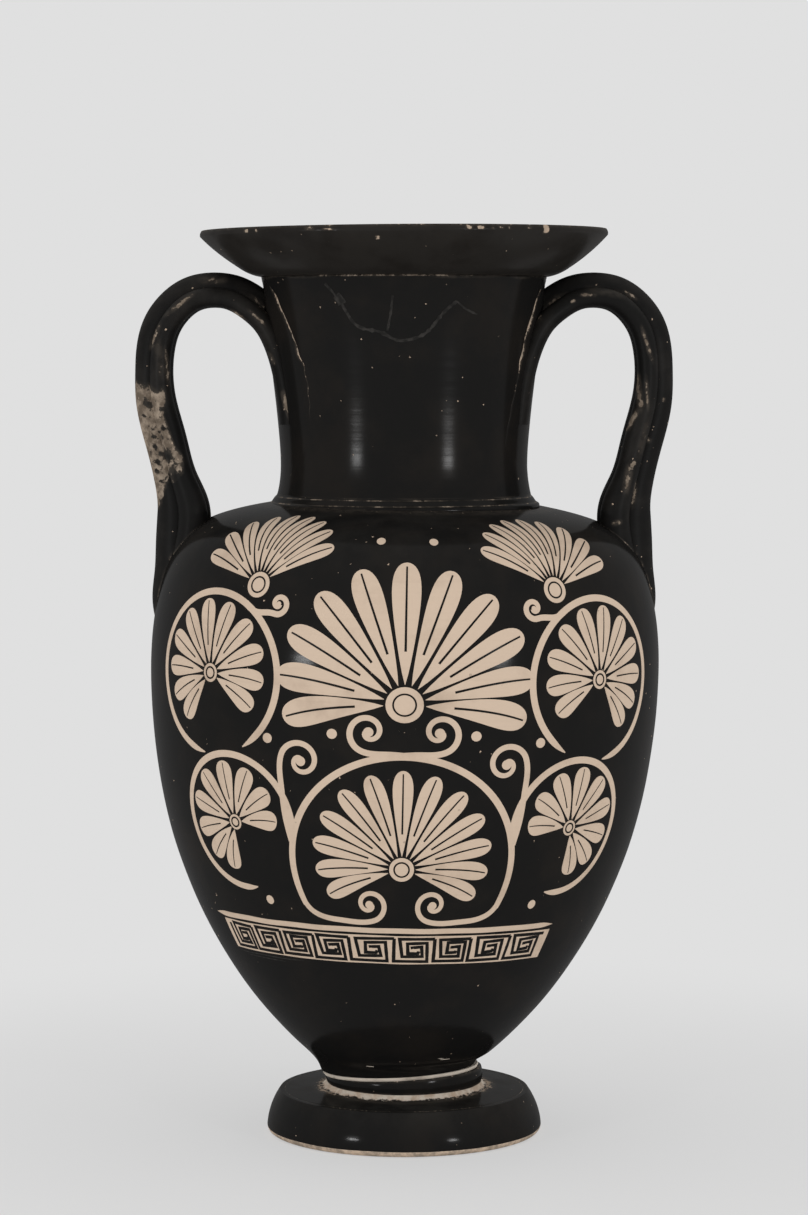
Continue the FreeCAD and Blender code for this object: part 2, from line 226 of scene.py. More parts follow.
def volume_of(points, faces):
    """A sixth of the sum, over all triangles of all faces, of corner . (corner x corner)."""
    total = 0.0
    for face_set in faces:
        for k in range(1, face_set.shape[1] - 1):
            a, b, c = points[face_set[:, 0]], points[face_set[:, k]], points[face_set[:, k + 1]]
            total += np.einsum("ij,ij->", a, np.cross(b, c)) / 6
    return total


def mesh_object(name, points, faces, material):
    """An object at the origin from points in millimetres and sets of faces."""
    mesh = bpy.data.meshes.new(name)
    mesh.from_pydata((points * MM).tolist(), [], [f for face_set in faces for f in face_set.tolist()])
    mesh.materials.append(material)
    return into_scene(name, mesh)


def make_piece(name, points, faces, material, slot, replaces=(), wear=(), sharp_deg=35):
    """A closed mesh that rides on the jar. wear is one number for each point, and those left over get 0."""
    if volume_of(points, faces) < 0:
        faces = [face_set[:, ::-1] for face_set in faces]
    piece = mesh_object(name, points, faces, material)
    mesh = piece.data
    mesh.validate()
    mesh.polygons.foreach_set("use_smooth", np.ones(len(mesh.polygons), bool))
    mesh.set_sharp_from_angle(angle=math.radians(sharp_deg))
    worn = np.zeros(len(points))
    worn[: np.size(wear)] = np.ravel(wear)
    mesh.attributes.new("wear", "FLOAT", "POINT").data.foreach_set("value", worn)
    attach(piece, "root")
    if replaces:
        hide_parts(*replaces)
    triangles = sum(len(face_set) * (face_set.shape[1] - 2) for face_set in faces)
    print(f"{name}: {triangles} triangles")


print("mesh helpers ready, a 3 x 4 tube has", capped(np.zeros((3, 4, 3)))[0].shape, "points")

# %% [markdown]
# ## Building materials from nodes
# A material is a small machine of nodes. One short function puts a node in place and wires what is handed to
# it, and a wire knows its tree, so each material reads like a recipe. Effects that several finishes share are
# node groups: built once, they put out a mask or a height and leave the shader itself to the material.

# %% Node helpers
def give(node, inputs):
    """Hands a node its inputs. A socket is wired, any other value is set."""
    for key, value in dict(inputs).items():
        if isinstance(value, bpy.types.NodeSocket):
            node.id_data.links.new(value, node.inputs[key])
        else:
            node.inputs[key].default_value = value
    return node


def put(tree, kind, inputs=(), **settings):
    """A new node with its settings and its inputs."""
    node = tree.nodes.new(kind)
    for key, value in settings.items():
        setattr(node, key, value)
    return give(node, inputs)


def reckon(operation, a, b, clamp=False):
    """The answer of one Math node. At least one of a and b is a socket, and says which tree it goes in."""
    tree = (a if isinstance(a, bpy.types.NodeSocket) else b).id_data
    return put(tree, "ShaderNodeMath", {0: a, 1: b}, operation=operation, use_clamp=clamp).outputs[0]


plus, minus, times, over, larger = (
    partial(reckon, operation) for operation in ("ADD", "SUBTRACT", "MULTIPLY", "DIVIDE", "MAXIMUM")
)


def ramp(value, low, high, to_low=0.0, to_high=1.0):
    """A soft step of value between low and high, as a number between to_low and to_high."""
    inputs = {"Value": value, "From Min": low, "From Max": high, "To Min": to_low, "To Max": to_high}
    return put(value.id_data, "ShaderNodeMapRange", inputs, interpolation_type="SMOOTHSTEP").outputs["Result"]


def noise(place, scale, detail=3.0, roughness=0.5):
    """Fractal noise at a scale in waves per metre."""
    inputs = {"Vector": place, "Scale": scale, "Detail": detail, "Roughness": roughness}
    return put(place.id_data, "ShaderNodeTexNoise", inputs).outputs["Fac"]


def blended(share, *tones):
    """The first tone where share is 0, the second where it is 1. A tone is a socket or (red, green, blue)."""
    mix = put(share.id_data, "ShaderNodeMix", {"Factor": share}, data_type="RGBA")
    wires = [tone if isinstance(tone, bpy.types.NodeSocket) else (*tone, 1) for tone in tones]
    return give(mix, {6: wires[0], 7: wires[1]}).outputs[2]


def bumped(height, strength, distance):
    """The normals that a relief of that height gives."""
    inputs = {"Height": height, "Strength": strength, "Distance": distance}
    return put(height.id_data, "ShaderNodeBump", inputs).outputs["Normal"]


def object_place(tree):
    return tree.nodes.new("ShaderNodeTexCoord").outputs["Object"]


def split(vector):
    """The x, y and z of a vector."""
    return list(put(vector.id_data, "ShaderNodeSeparateXYZ", {0: vector}).outputs)


def combined(x, y, z):
    return put(x.id_data, "ShaderNodeCombineXYZ", {"X": x, "Y": y, "Z": z}).outputs[0]


def vector_math(operation, a, inputs):
    return put(a.id_data, "ShaderNodeVectorMath", {0: a, **inputs}, operation=operation).outputs[0]


print("node helpers ready")

# %% [markdown]
# ## Shared effects
# Four things happen to every surface of an old pot. The wheel leaves fine level lines. Small flecks of gloss
# pop off. The gloss wears through where hands and tools touched it, with a ragged edge. And dust settles on
# what faces up. Each is a group with named inputs.

# %% Effect groups
def effect_group(name, inputs, output, recipe):
    """A node group with number inputs, a dictionary of defaults, and one number output. recipe(place, given)
    puts its nodes in and hands back the answer."""
    group = bpy.data.node_groups.new(name, "ShaderNodeTree")
    for label, value in inputs.items():
        group.interface.new_socket(label, in_out="INPUT", socket_type="NodeSocketFloat").default_value = value
    group.interface.new_socket(output, in_out="OUTPUT", socket_type="NodeSocketFloat")
    given = group.nodes.new("NodeGroupInput").outputs
    give(group.nodes.new("NodeGroupOutput"), {output: recipe(object_place(group), given)})
    return group


def effect(tree, group, **given):
    """The answer of a group placed in a tree. An underscore in an input's name stands for a space."""
    inputs = {label.replace("_", " "): value for label, value in given.items()}
    return put(tree, "ShaderNodeGroup", inputs, node_tree=group).outputs[0]


def level_streaks(place, given):
    """Noise that is stretched far round the pot and squeezed along its height."""
    x, y, z = split(place)
    drawn = combined(times(x, 9.0), times(y, 9.0), times(z, given["Lines per metre"]))
    return noise(drawn, 1.0, 4.0, 0.6)


def chip_dots(place, given):
    """Small chips: in each cell of a Voronoi pattern one dot, whose size comes from the cell's own random
    colour, so that few are large. Noise shifts the place first, which makes the dots ragged. With a length
    above 1 the dots are drawn out round the pot, like scratches."""
    tree = place.id_data
    jitter = put(tree, "ShaderNodeTexNoise", {"Vector": place, "Scale": 2500.0, "Detail": 1.0})
    shift = vector_math("SUBTRACT", jitter.outputs["Color"], {1: (0.5, 0.5, 0.5)})
    shift = vector_math("SCALE", shift, {"Scale": 0.0009})
    x, y, z = split(vector_math("ADD", place, {1: shift}))
    drawn = combined(over(x, given["Length"]), over(y, given["Length"]), z)
    cells = put(tree, "ShaderNodeTexVoronoi", {"Vector": drawn, "Scale": given["Cells per metre"]}).outputs
    luck = put(tree, "ShaderNodeSeparateColor", {0: cells["Color"]}).outputs
    picked = reckon("LESS_THAN", luck[0], given["Share"])
    size = times(reckon("POWER", luck[1], 3.0), given["Size"])
    return times(ramp(minus(size, cells["Distance"]), 0.0, 0.03), picked)


def ragged_edge(place, given):
    """The wear field of the mesh is raised and lowered by noise, then cut off at a half."""
    grain = noise(place, given["Grain per metre"], 5.0, 0.65)
    raised = times(minus(grain, 0.5), given["Raggedness"])
    return ramp(plus(given["Wear"], raised), 0.44, 0.56)


def settled_dust(place, given):
    """Dust lies where the surface faces up, in uneven drifts."""
    normal = place.id_data.nodes.new("ShaderNodeNewGeometry").outputs["Normal"]
    facing = ramp(split(normal)[2], 0.15, 0.95)
    drift = ramp(noise(place, 60.0, 5.0, 0.6), 0.3, 0.75)
    return times(times(facing, given["Amount"]), drift)


wheel_marks = effect_group("Wheel marks", {"Lines per metre": 900.0}, "Streak", level_streaks)
fleck_inputs = {"Cells per metre": 200.0, "Share": 0.2, "Size": 0.3, "Length": 1.0}
flecks = effect_group("Flecks", fleck_inputs, "Mask", chip_dots)
worn_inputs = {"Wear": 0.0, "Grain per metre": 700.0, "Raggedness": 0.9}
worn_through = effect_group("Worn through", worn_inputs, "Mask", ragged_edge)
dust = effect_group("Dust", {"Amount": 0.3}, "Mask", settled_dust)
print("effect groups:", [g.name for g in bpy.data.node_groups])

# %% [markdown]
# ## Two finishes: bare clay and black gloss
# The gloss is no glaze but a very fine clay slip that turned black in the kiln. It is thin, so the wheel's
# lines show in its shine, and it is nearly black with a brown breath. Where it is gone, the pale body clay
# looks through, dull and a little stained. The shine is low and soft: the shader's own specular level is 0,
# and all of the shine comes from a thin coat, which wear, chips and dust take away.

# %% Clay and gloss
CLAY = (0.700, 0.545, 0.415)
CLAY_STAINED = (0.560, 0.425, 0.318)
SLIP = (0.740, 0.650, 0.550)
SLIP_STAINED = (0.30, 0.25, 0.20)
WORN_CLAY = (0.360, 0.290, 0.225)
WORN_DARK = (0.150, 0.118, 0.090)
GLOSS_BLACK = (0.0102, 0.0098, 0.0094)
GLOSS_BROWN = (0.0150, 0.0130, 0.0114)
GLOSS_DULL = (0.0240, 0.0217, 0.0195)
GLOSS_THIN = (0.0480, 0.0405, 0.0335)
DUST_GREY = (0.085, 0.079, 0.070)
COAT_SHARE = 0.12
# Pinpricks, chips and scratches: cells per metre, share against a finish's own, size, length.
FLECK_KINDS = ((520.0, 2.4, 0.19, 1.0), (62.0, 0.6, 0.045, 1.0), (300.0, 0.3, 0.09, 9.0))


def new_material(name):
    material = bpy.data.materials.new(name)
    material.use_nodes = True
    tree = material.node_tree
    return material, tree, tree.nodes["Principled BSDF"]


def clay_material(name, tone=CLAY, stain=CLAY_STAINED, roughness=0.62):
    """Fine reserved clay: level brush streaks and cloudy stains over an even ground."""
    material, tree, shader = new_material(name)
    place = object_place(tree)
    streak = effect(tree, wheel_marks, Lines_per_metre=700.0)
    spots = effect(tree, flecks, Cells_per_metre=260.0, Share=0.12, Size=0.22)
    clouds = ramp(noise(place, 55.0, 6.0, 0.6), 0.48, 0.78)
    stained = plus(clouds, ramp(streak, 0.5, 0.85, 0.0, 0.35), clamp=True)
    colour = blended(times(spots, 0.45), blended(stained, tone, stain), [0.45 * v for v in stain])
    height = plus(streak, times(noise(place, 1800.0, 3.0), 0.8))
    give(shader, {"Base Color": colour, "Roughness": roughness, "Specular IOR Level": 0.25,
                  "Normal": bumped(height, 0.12, 0.0003)})
    return material


def gloss_material(name, shine=0.14, fleck_share=0.13, dusting=0.12, marks=0.06, bare_below=0.0,
                   grain=(700.0, 0.9), bare_tones=(WORN_CLAY, CLAY_STAINED),
                   tones=(GLOSS_BLACK, GLOSS_BROWN)):
    """Black gloss over clay. The masks of wear, flecks and dust let the clay show and thin the shining coat.
    grain is how fine and how deep the ragged edge of wear is, bare_below a level, in metres, under which
    the gloss was wiped away."""
    material, tree, shader = new_material(name)
    place = object_place(tree)
    streak = effect(tree, wheel_marks, Lines_per_metre=620.0)
    cloud = noise(place, 38.0, 5.0, 0.6)
    wear = put(tree, "ShaderNodeAttribute", attribute_name="wear").outputs["Fac"]
    if bare_below:
        edge = plus(split(place)[2], times(noise(place, 45.0, 3.0), 0.0006))
        wear = plus(wear, ramp(edge, bare_below, bare_below + 0.0002, 1.0, 0.0), clamp=True)
    gone = effect(tree, worn_through, Wear=wear, Grain_per_metre=grain[0], Raggedness=grain[1])
    clusters = ramp(noise(place, 26.0, 2.0), 0.42, 0.66, 0.15, 1.0)
    chips = 0.0
    for cells, share, size, length in FLECK_KINDS:
        picked = times(clusters, fleck_share * share)
        dots = effect(tree, flecks, Cells_per_metre=cells, Share=picked, Size=size, Length=length)
        chips = larger(chips, dots)
    bare = larger(gone, chips)
    dusty = effect(tree, dust, Amount=dusting)

    colour = blended(ramp(cloud, 0.42, 0.72), *tones)
    thin = times(ramp(wear, 0.10, 0.48), ramp(noise(place, 330.0, 4.0), 0.35, 0.6, 0.3, 1.0))
    colour = blended(dusty, blended(thin, colour, GLOSS_THIN), DUST_GREY)
    clay = blended(ramp(noise(place, 260.0, 5.0, 0.65), 0.38, 0.66), *bare_tones)
    colour = blended(bare, colour, blended(chips, clay, CLAY_STAINED))

    uneven = plus(ramp(streak, 0.3, 0.8, -0.04, 0.07), ramp(cloud, 0.3, 0.8, -0.03, 0.05))
    rough = plus(plus(plus(uneven, shine), times(dusty, 0.5)), times(bare, 0.4), clamp=True)
    coat = times(minus(1.0, bare), ramp(dusty, 0.0, 0.5, COAT_SHARE, 0.4 * COAT_SHARE))
    height = plus(streak, times(noise(place, 520.0, 3.0, 0.55), 0.5))
    normal = bumped(minus(height, times(bare, 0.8)), marks, 0.00025)
    give(shader, {"Base Color": colour, "Roughness": rough, "Specular IOR Level": 0.0, "Coat Weight": coat,
                  "Coat Roughness": shine, "Normal": normal, "Coat Normal": normal})
    return material


body_gloss = gloss_material("body_gloss")
neck_gloss = gloss_material("neck_gloss", shine=0.16)
mouth_gloss = gloss_material("mouth_gloss", shine=0.26, tones=(GLOSS_DULL, GLOSS_BROWN))
foot_gloss = gloss_material("foot_gloss", shine=0.125, dusting=0.30, bare_below=0.0022,
                            bare_tones=(WORN_CLAY, CLAY))
seam_gloss = gloss_material("seam_gloss", grain=(900.0, 0.9), bare_tones=(WORN_DARK, WORN_CLAY))
handle_gloss = gloss_material("handle_gloss", shine=0.42, fleck_share=0.26, dusting=0.30, marks=0.35,
                              grain=(480.0, 1.15), bare_tones=(WORN_DARK, WORN_CLAY),
                              tones=(GLOSS_BLACK, GLOSS_DULL))
painted_line = gloss_material("painted_line", shine=0.26, fleck_share=0.0, dusting=0.0)
reserved_clay = clay_material("reserved_clay")
smeared_slip = gloss_material("smeared_slip", shine=0.3, fleck_share=0.0, grain=(1000.0, 1.3),
                              bare_tones=(SLIP, CLAY_STAINED))
slip_clay = clay_material("slip_clay", tone=SLIP, stain=SLIP_STAINED, roughness=0.8)
print("materials:", [m.name for m in bpy.data.materials])

# %% [markdown]
# ## The studio
# The jar stands on a pale floor before a pale room. Two lamps, one each side, wide and very flat, give the
# short highlights that such a jar shows on its neck, shoulder and foot. The room's paleness is only for the
# eye and for reflections, through the Light Path node. What lights the jar is the lamps and a dim even fill,
# at a level where a colour comes out about as it is written.

# %% Studio
PALE = 0.745
fill_strength = 0.70
lamp_distance = 1200.0
lamp_height = 230.0
lamp_aim_height = 200.0
lamp_width = 190.0
lamp_tallness = 12.0
lamp_power = 1.85
lamp_turns_deg = (-43.5, 40.5)
floor_reach = 6000.0
floor_rings = 24
floor_segments = 96
floor_drop = 0.3
floor_tone = 0.85
# The floor takes on the room's paleness further out, so that no edge shows: this share of it at the jar,
# and all of it from this distance on, in metres.
glow_at_jar = 0.62
full_glow_distance = 0.4


def grey(tone):
    return (tone, tone, tone, 1)


def seen_directly(tree):
    """1 for rays from the camera and for those that a shine or clear glass sends on, else 0."""
    path = tree.nodes.new("ShaderNodeLightPath").outputs
    return larger(larger(path["Is Camera Ray"], path["Is Glossy Ray"]), path["Is Transmission Ray"])


def mixed_shader(share, first, second):
    """The first shader where share is 0, the second where it is 1."""
    inputs = {0: share, 1: first.outputs[0], 2: second.outputs[0]}
    return put(share.id_data, "ShaderNodeMixShader", inputs).outputs[0]


def make_world():
    world = bpy.data.worlds.new("studio")
    world.use_nodes = True
    tree = world.node_tree
    tree.nodes.clear()
    fill = put(tree, "ShaderNodeBackground", {"Color": grey(1), "Strength": fill_strength})
    room = put(tree, "ShaderNodeBackground", {"Color": grey(PALE), "Strength": 1.0})
    put(tree, "ShaderNodeOutputWorld", {"Surface": mixed_shader(seen_directly(tree), fill, room)})
    bpy.context.scene.world = world


def make_floor():
    """Rings of points on the floor, closer together near the jar. It glows by the square of the distance."""
    material, tree, shader = new_material("pale_floor")
    give(shader, {"Base Color": grey(floor_tone), "Roughness": 1.0, "Specular IOR Level": 0.0})
    x, y, _ = split(object_place(tree))
    far = ramp(plus(times(x, x), times(y, y)), 0.0, full_glow_distance**2, glow_at_jar, 1.0)
    glow = put(tree, "ShaderNodeEmission", {"Color": grey(PALE), "Strength": 1.0})
    floor_look = mixed_shader(times(far, seen_directly(tree)), shader, glow)
    give(tree.nodes["Material Output"], {"Surface": floor_look})
    radius = floor_reach * np.linspace(0, 1, floor_rings)[1:] ** 2
    grid, _ = turned(np.stack([radius, 0 * radius], 1), floor_segments)
    points = np.concatenate([grid.reshape(-1, 3), [[0, 0, 0]]]) - (0, 0, floor_drop)
    faces = [grid_faces(len(radius), floor_segments), fan_faces(np.arange(floor_segments), len(points) - 1)]
    mesh_object("floor", points, faces, material)


def make_lamp(turn_deg):
    """An area lamp at a turn from the front, a little below the shoulder's top and tipped slightly down."""
    turn = math.radians(turn_deg)
    lamp = into_scene("lamp", bpy.data.lights.new("lamp", "AREA"))
    lamp.data.shape = "ELLIPSE"
    lamp.data.size = lamp_width * MM
    lamp.data.size_y = lamp_tallness * MM
    lamp.data.energy = lamp_power
    away = lamp_distance * MM
    lamp.location = (away * math.sin(turn), -away * math.cos(turn), lamp_height * MM)
    tip = math.atan2(lamp_height - lamp_aim_height, lamp_distance)
    lamp.rotation_euler = (math.pi / 2 - tip, 0, turn)


bpy.context.scene.view_settings.view_transform = "Standard"
make_world()
make_floor()
for lamp_turn in lamp_turns_deg:
    make_lamp(lamp_turn)
print("studio lit")

# %% [markdown]
# ## The outlines
# The body's curve is given as shares of its radius and height, read along its outer edge. The body
# leans a little to one side, as hand-thrown jars do. What sits on the body or is painted on it needs to know
# where its surface is, so two helpers answer that: one leans points with the body, one presses them on to it.

# %% Body and neck outlines
stem_radius = 28.9
body_base = 23.9
body_height = 213.3
body_radius = 95.4
body_wall = 5.2
shoulder_seat = 51.0
throat_radius = 42.0
throat_level = body_base + body_height
body_lean = math.radians(1.05)
body_offset = 1.45
BODY_SHARES = np.array([
    (0.3155, 0.0115), (0.3540, 0.0285), (0.4790, 0.0815), (0.5830, 0.1350), (0.6690, 0.1890),
    (0.7415, 0.2425), (0.8030, 0.2960), (0.8545, 0.3500), (0.8975, 0.4035), (0.9310, 0.4570),
    (0.9565, 0.5100), (0.9755, 0.5635), (0.9895, 0.6170), (0.9975, 0.6700), (1.0000, 0.7230),
    (0.9940, 0.7770), (0.9790, 0.8240), (0.9555, 0.8670), (0.9190, 0.9090), (0.8650, 0.9430),
    (0.7900, 0.9675), (0.6970, 0.9835), (0.6080, 0.9935),
])
body_points = BODY_SHARES * (body_radius, body_height) + (0, body_base)
body_points = chained([(stem_radius, body_base)], body_points, [(shoulder_seat, throat_level)])
body_outline = smooth_through(body_points, 600)

neck_base = 238.5
neck_height = 83.1
neck_top = neck_base + neck_height
neck_waist = 46.1
neck_base_flare = 2.1
neck_top_flare = 7.2
neck_wall = 5.2
NECK_FLARE_SHARES = np.array([
    (0.12, 0.065), (0.03, 0.130), (0.00, 0.215), (0.03, 0.330), (0.09, 0.450), (0.21, 0.590), (0.39, 0.740),
    (0.63, 0.870), (0.83, 0.950), (1.00, 1.000),
])
neck_points = NECK_FLARE_SHARES * (neck_top_flare, neck_height) + (neck_waist, neck_base)
neck_points = chained([(neck_waist + neck_base_flare, neck_base)], neck_points)
neck_outline = smooth_through(neck_points, 260)


def side_normals(outline):
    """The outward normal of a profile that climbs: its direction (dr, dz) turned to (dz, -dr)."""
    along = np.gradient(outline, axis=0)
    along /= np.linalg.norm(along, axis=1)[:, None]
    return np.stack([along[:, 1], -along[:, 0]], 1)


def leaned(points, back=False):
    """Points turned by the body's lean round a level axis through the throat, then shifted; or back again."""
    angle = -body_lean if back else body_lean
    x, y, z = points[..., 0] - (body_offset if back else 0), points[..., 1], points[..., 2] - throat_level
    turned_x = x * math.cos(angle) + z * math.sin(angle)
    turned_z = z * math.cos(angle) - x * math.sin(angle)
    return np.stack([turned_x + (0 if back else body_offset), y, turned_z + throat_level], -1)


def neck_radius_at(level):
    return np.interp(level, neck_outline[:, 1], neck_outline[:, 0])


def pressed_on(points, outline, sink):
    """Points that lie deeper than sink inside a turned surface are lifted to that depth, so that a handle's
    end stays in the wall and never comes through on the inside. Gives them and how far each point stood off
    the surface: its offset from the nearest point of the profile, along the normal there."""
    radius = np.hypot(points[..., 0], points[..., 1])
    flat = np.stack([radius, points[..., 2]], -1)
    nearest = ((flat[..., None, :] - outline) ** 2).sum(-1).argmin(-1)
    normals = side_normals(outline)[nearest]
    above = np.einsum("...k,...k->...", flat - outline[nearest], normals)
    seat = outline[nearest] - sink * normals
    across = points[..., :2] / np.maximum(radius, 1e-6)[..., None] * seat[..., :1]
    lifted = np.concatenate([across, seat[..., 1:]], -1)
    return np.where((above < -sink)[..., None], lifted, points), above


print("body", body_outline[0].round(1), "to", body_outline[-1].round(1), "neck to", neck_outline[-1].round(1))

# %% [markdown]
# ## The foot
# The foot is a thick disc with a full side and a crisp upper edge, hollow below so that it stands on a ring.
# A thin line is scribed just inside the edge, and the bottom margin was wiped clean of gloss. One turned
# profile gives all of it, and its wear field holds the nicks, the line and the slip smeared on its top.

# %% The foot
foot_height = 17.2
foot_radius = 51.9
foot_arris_radius = 47.0
foot_arris_drop = 1.6
foot_side_level = 2.4
foot_edge_radius = 50.3
foot_rest_radius = 42.0
foot_hollow_radius = 26.0
foot_hollow = 8.0
socket_radius = 22.3
socket_floor = 14.1
collar_radius = 29.2
scribed_radius = 45.2
foot_upper_level = 15.0


def foot_top_at(radius):
    """The foot's top falls evenly from the socket to the arris, with a fine scribed groove near it."""
    fall = foot_arris_drop * (radius - socket_radius) / (foot_arris_radius - socket_radius)
    return foot_height - fall - 0.09 * bell(radius - scribed_radius, 0.3)


def make_foot():
    across = np.concatenate([np.linspace(socket_radius, 44.0, 24), np.linspace(44.3, foot_arris_radius, 14)])
    side_end, edge, rest = (foot_radius, foot_side_level), (foot_edge_radius, 0), (foot_rest_radius, 0)
    hollow = (foot_hollow_radius, foot_hollow)
    profile = chained(
        np.linspace((0, socket_floor), (socket_radius, socket_floor), 4),
        np.stack([across, foot_top_at(across)], 1),
        arc_through((foot_arris_radius, foot_height - foot_arris_drop), (50.45, 9.0), side_end, 44),
        arc_through(side_end, (51.5, 0.8), edge, 9),
        np.linspace(edge, rest, 8), np.linspace(rest, hollow, 14), np.linspace(hollow, (0, foot_hollow), 10),
    )
    grid, azimuth = turned(profile, 384)
    radius, level = profile[:, :1], profile[:, 1:]
    uneven = 0.10 * ripple(azimuth, grid[..., 2], 3)
    grid[..., :2] *= (1 + uneven / foot_radius * (radius > 40) * (level > 0.5))[..., None]
    nick = 0.5 * smoothstep(1.6, 2.2, level_ripple(8, 12, 60))
    near_arris = bell(np.hypot(radius - foot_arris_radius, level - 15.6), 0.7)
    on_top = level > foot_upper_level
    scribed = bell(radius - scribed_radius, 0.22) * on_top * (0.49 + 0.10 * level_ripple(9, 10, 20))
    by_collar = bell(radius - collar_radius - 1, 5.0) * on_top
    smeared = by_collar * (0.25 + 0.40 * np.sin(azimuth) ** 2 + 0.09 * level_ripple(10, 9, 30))
    wear = np.maximum(near_arris * nick + scribed, smeared)
    make_piece("thrown_foot", *closed_on_axis(grid), foot_gloss, "black_gloss", ["foot"], wear[1:-1])


make_foot()

# %% [markdown]
# ### The collar and the slip round it
# The collar hides the joint between body and foot. It was cut off on a slant, and pale slip squeezed out above
# and below it. Rings with a radius and a level of their own at each azimuth can be as uneven as that is.

# %% Collar and slip rings
collar_base = 18.4
slip_thickness = 1.2
slant_across = math.tan(math.radians(3.0))
slant_along = -math.tan(math.radians(2.3))


def slant_at(grid):
    """The slanted plane of the joint under the body."""
    return body_base + slant_across * grid[..., 0] + slant_along * grid[..., 1]


def uneven_ring(name, rows, material, slot, node, segments=384, wear=()):
    """A ring from rows of (radius, level), closed on itself. Each is a number or one value per azimuth, and
    a level may also be a function of the ring's points."""
    azimuth = azimuths(segments)
    radius = np.array([row[0] + 0 * azimuth for row in rows])
    grid = np.stack([radius * np.sin(azimuth), -radius * np.cos(azimuth), 0 * radius], -1)
    for k, row in enumerate(rows):
        grid[k, :, 2] = row[1](grid[k]) if callable(row[1]) else row[1]
    make_piece(name, *closed_ring(grid), material, slot, [node], wear)


def over_slant(offset):
    """The level that lies offset over the slanted plane."""
    return lambda ring: slant_at(ring) + offset


def up_collar(t):
    """The level a share t of the way from the collar's base to the slip above it."""
    return lambda ring: collar_base + t * (slant_at(ring) - slip_thickness - collar_base)


def make_foot_slip():
    """Slip squeezed out under the collar: a fillet that runs out on the foot's top, paler near the collar."""
    reach = collar_radius + np.clip(2.3 + 0.55 * level_ripple(21, 18, 60), 1.2, 3.8)
    swell = 0.3 * level_ripple(22, 14, 30)
    top = foot_top_at(reach)
    rows = [
        (socket_radius, foot_height - 0.6), (socket_radius, collar_base), (collar_radius, collar_base + 0.1),
        (collar_radius + 0.35, collar_base - 0.1 + 0.15 * swell),
        (collar_radius + 0.4 * (reach - collar_radius), top + 0.75 + swell),
        (collar_radius + 0.7 * (reach - collar_radius), top + 0.35 + 0.4 * swell),
        (reach, top + 0.08), (reach + 0.1, top - 0.4),
    ]
    worn = np.full((len(rows), 384), 0.90)
    worn[-3] = 0.52 + 0.20 * level_ripple(25, 16, 70)
    worn[-2:] = 0.36 + 0.16 * level_ripple(26, 16, 90)
    uneven_ring("foot_slip_ring", rows, smeared_slip, "bare_clay", "foot_slip_bed", wear=worn)


def make_collar():
    """A band whose side bulges by the parabola 4t(1 - t)."""
    hand = 0.18 * level_ripple(23, 8, 9)
    side = [(collar_radius + 0.5 * 4 * t * (1 - t) + hand, up_collar(t)) for t in np.linspace(0, 1, 9)]
    rows = [(socket_radius, collar_base), *side, (socket_radius, over_slant(-slip_thickness))]
    worn = np.zeros((len(rows), 384))
    worn[[1, -2]] = 0.42
    worn[[2, -3]] = 0.25
    uneven_ring("slanted_collar", rows, body_gloss, "black_gloss", "collar", wear=worn)


def make_collar_slip():
    """The slip between collar and body, which bulges out of the joint by an uneven amount."""
    bulge = 0.30 + 0.22 * level_ripple(24, 12, 26)
    outer = collar_radius - 0.1 - 1.2 * np.sin(azimuths())
    low, middle, high = (over_slant(offset) for offset in (0.05 - slip_thickness, -slip_thickness / 2, 0.05))
    rows = [(socket_radius, low), (outer, low), (outer + bulge, middle), (outer, high), (socket_radius, high)]
    uneven_ring("collar_slip_line", rows, slip_clay, "bare_clay", "collar_slip_bed")


make_foot_slip()
make_collar()
make_collar_slip()

# %% [markdown]
# ## The body
# One profile makes the whole body: up the plug that sits in the foot, out along the outer curve, in over the
# seat of the neck, down the throat and the inside, and across the floor to the axis. The wheel's level ridges
# are a few hundredths of a millimetre, enough to break up a highlight.

# %% Body
plug_radius = 22.0
plug_level = 14.4
throat_depth = 5.0
inside_floor = body_base + 11.0
joint_fade = 8.0


def inside_of(outline, lowest, highest):
    """The outline set in by the wall along its normals, from top to bottom, down to the flat floor."""
    inner = outline - body_wall * side_normals(outline)
    keep = (outline[:, 1] > lowest) & (outline[:, 1] < highest) & (inner[:, 1] > inside_floor)
    inner = inner[keep][::-7]
    return chained(inner, np.linspace((inner[-1][0], inside_floor), (0, inside_floor), 8))


def make_body():
    """The turned profile, leaned from the stem up. Near the joint the leaned stem is let down on to the
    slanted plane by a drop that fades out over joint_fade."""
    outer = smooth_through(body_points, 230)
    inner = inside_of(body_outline, body_base + 0.02 * body_height, body_base + 0.99 * body_height)
    throat = (throat_radius, throat_level)
    profile = chained(
        np.linspace((0, plug_level), (plug_radius, plug_level), 4), [(plug_radius, body_base)], outer,
        np.linspace((shoulder_seat, throat_level), throat, 3),
        np.linspace(throat, (throat_radius, throat_level - throat_depth), 3), inner,
    )
    grid, azimuth = turned(profile, 352)
    radius, level = profile[:, :1], profile[:, 1:]
    first = int(np.argmin(np.abs(profile - (stem_radius, body_base)).sum(1)))
    outside = np.zeros((len(profile), 1))
    outside[first : first + len(outer)] = 1
    ridge = wheel_ridges(azimuth, grid[..., 2], (0.004, 9, 5, 12, 3), (0.025, 1, 6, 9, 5))
    grid[..., :2] *= (1 + outside * ridge / np.maximum(radius, 20))[..., None]
    grid[first:] = leaned(grid[first:])
    near_joint = outside * (1 - smoothstep(body_base, body_base + joint_fade, level))
    grid[..., 2] += (slant_at(grid) - body_base) * near_joint
    wear = outside * (0.33 * smoothstep(throat_level - 2.5, throat_level - 0.5, level) + 0 * azimuth)
    make_piece("thrown_body", *closed_on_axis(grid), body_gloss, "black_gloss", ["body"], wear[1:-1])


make_body()

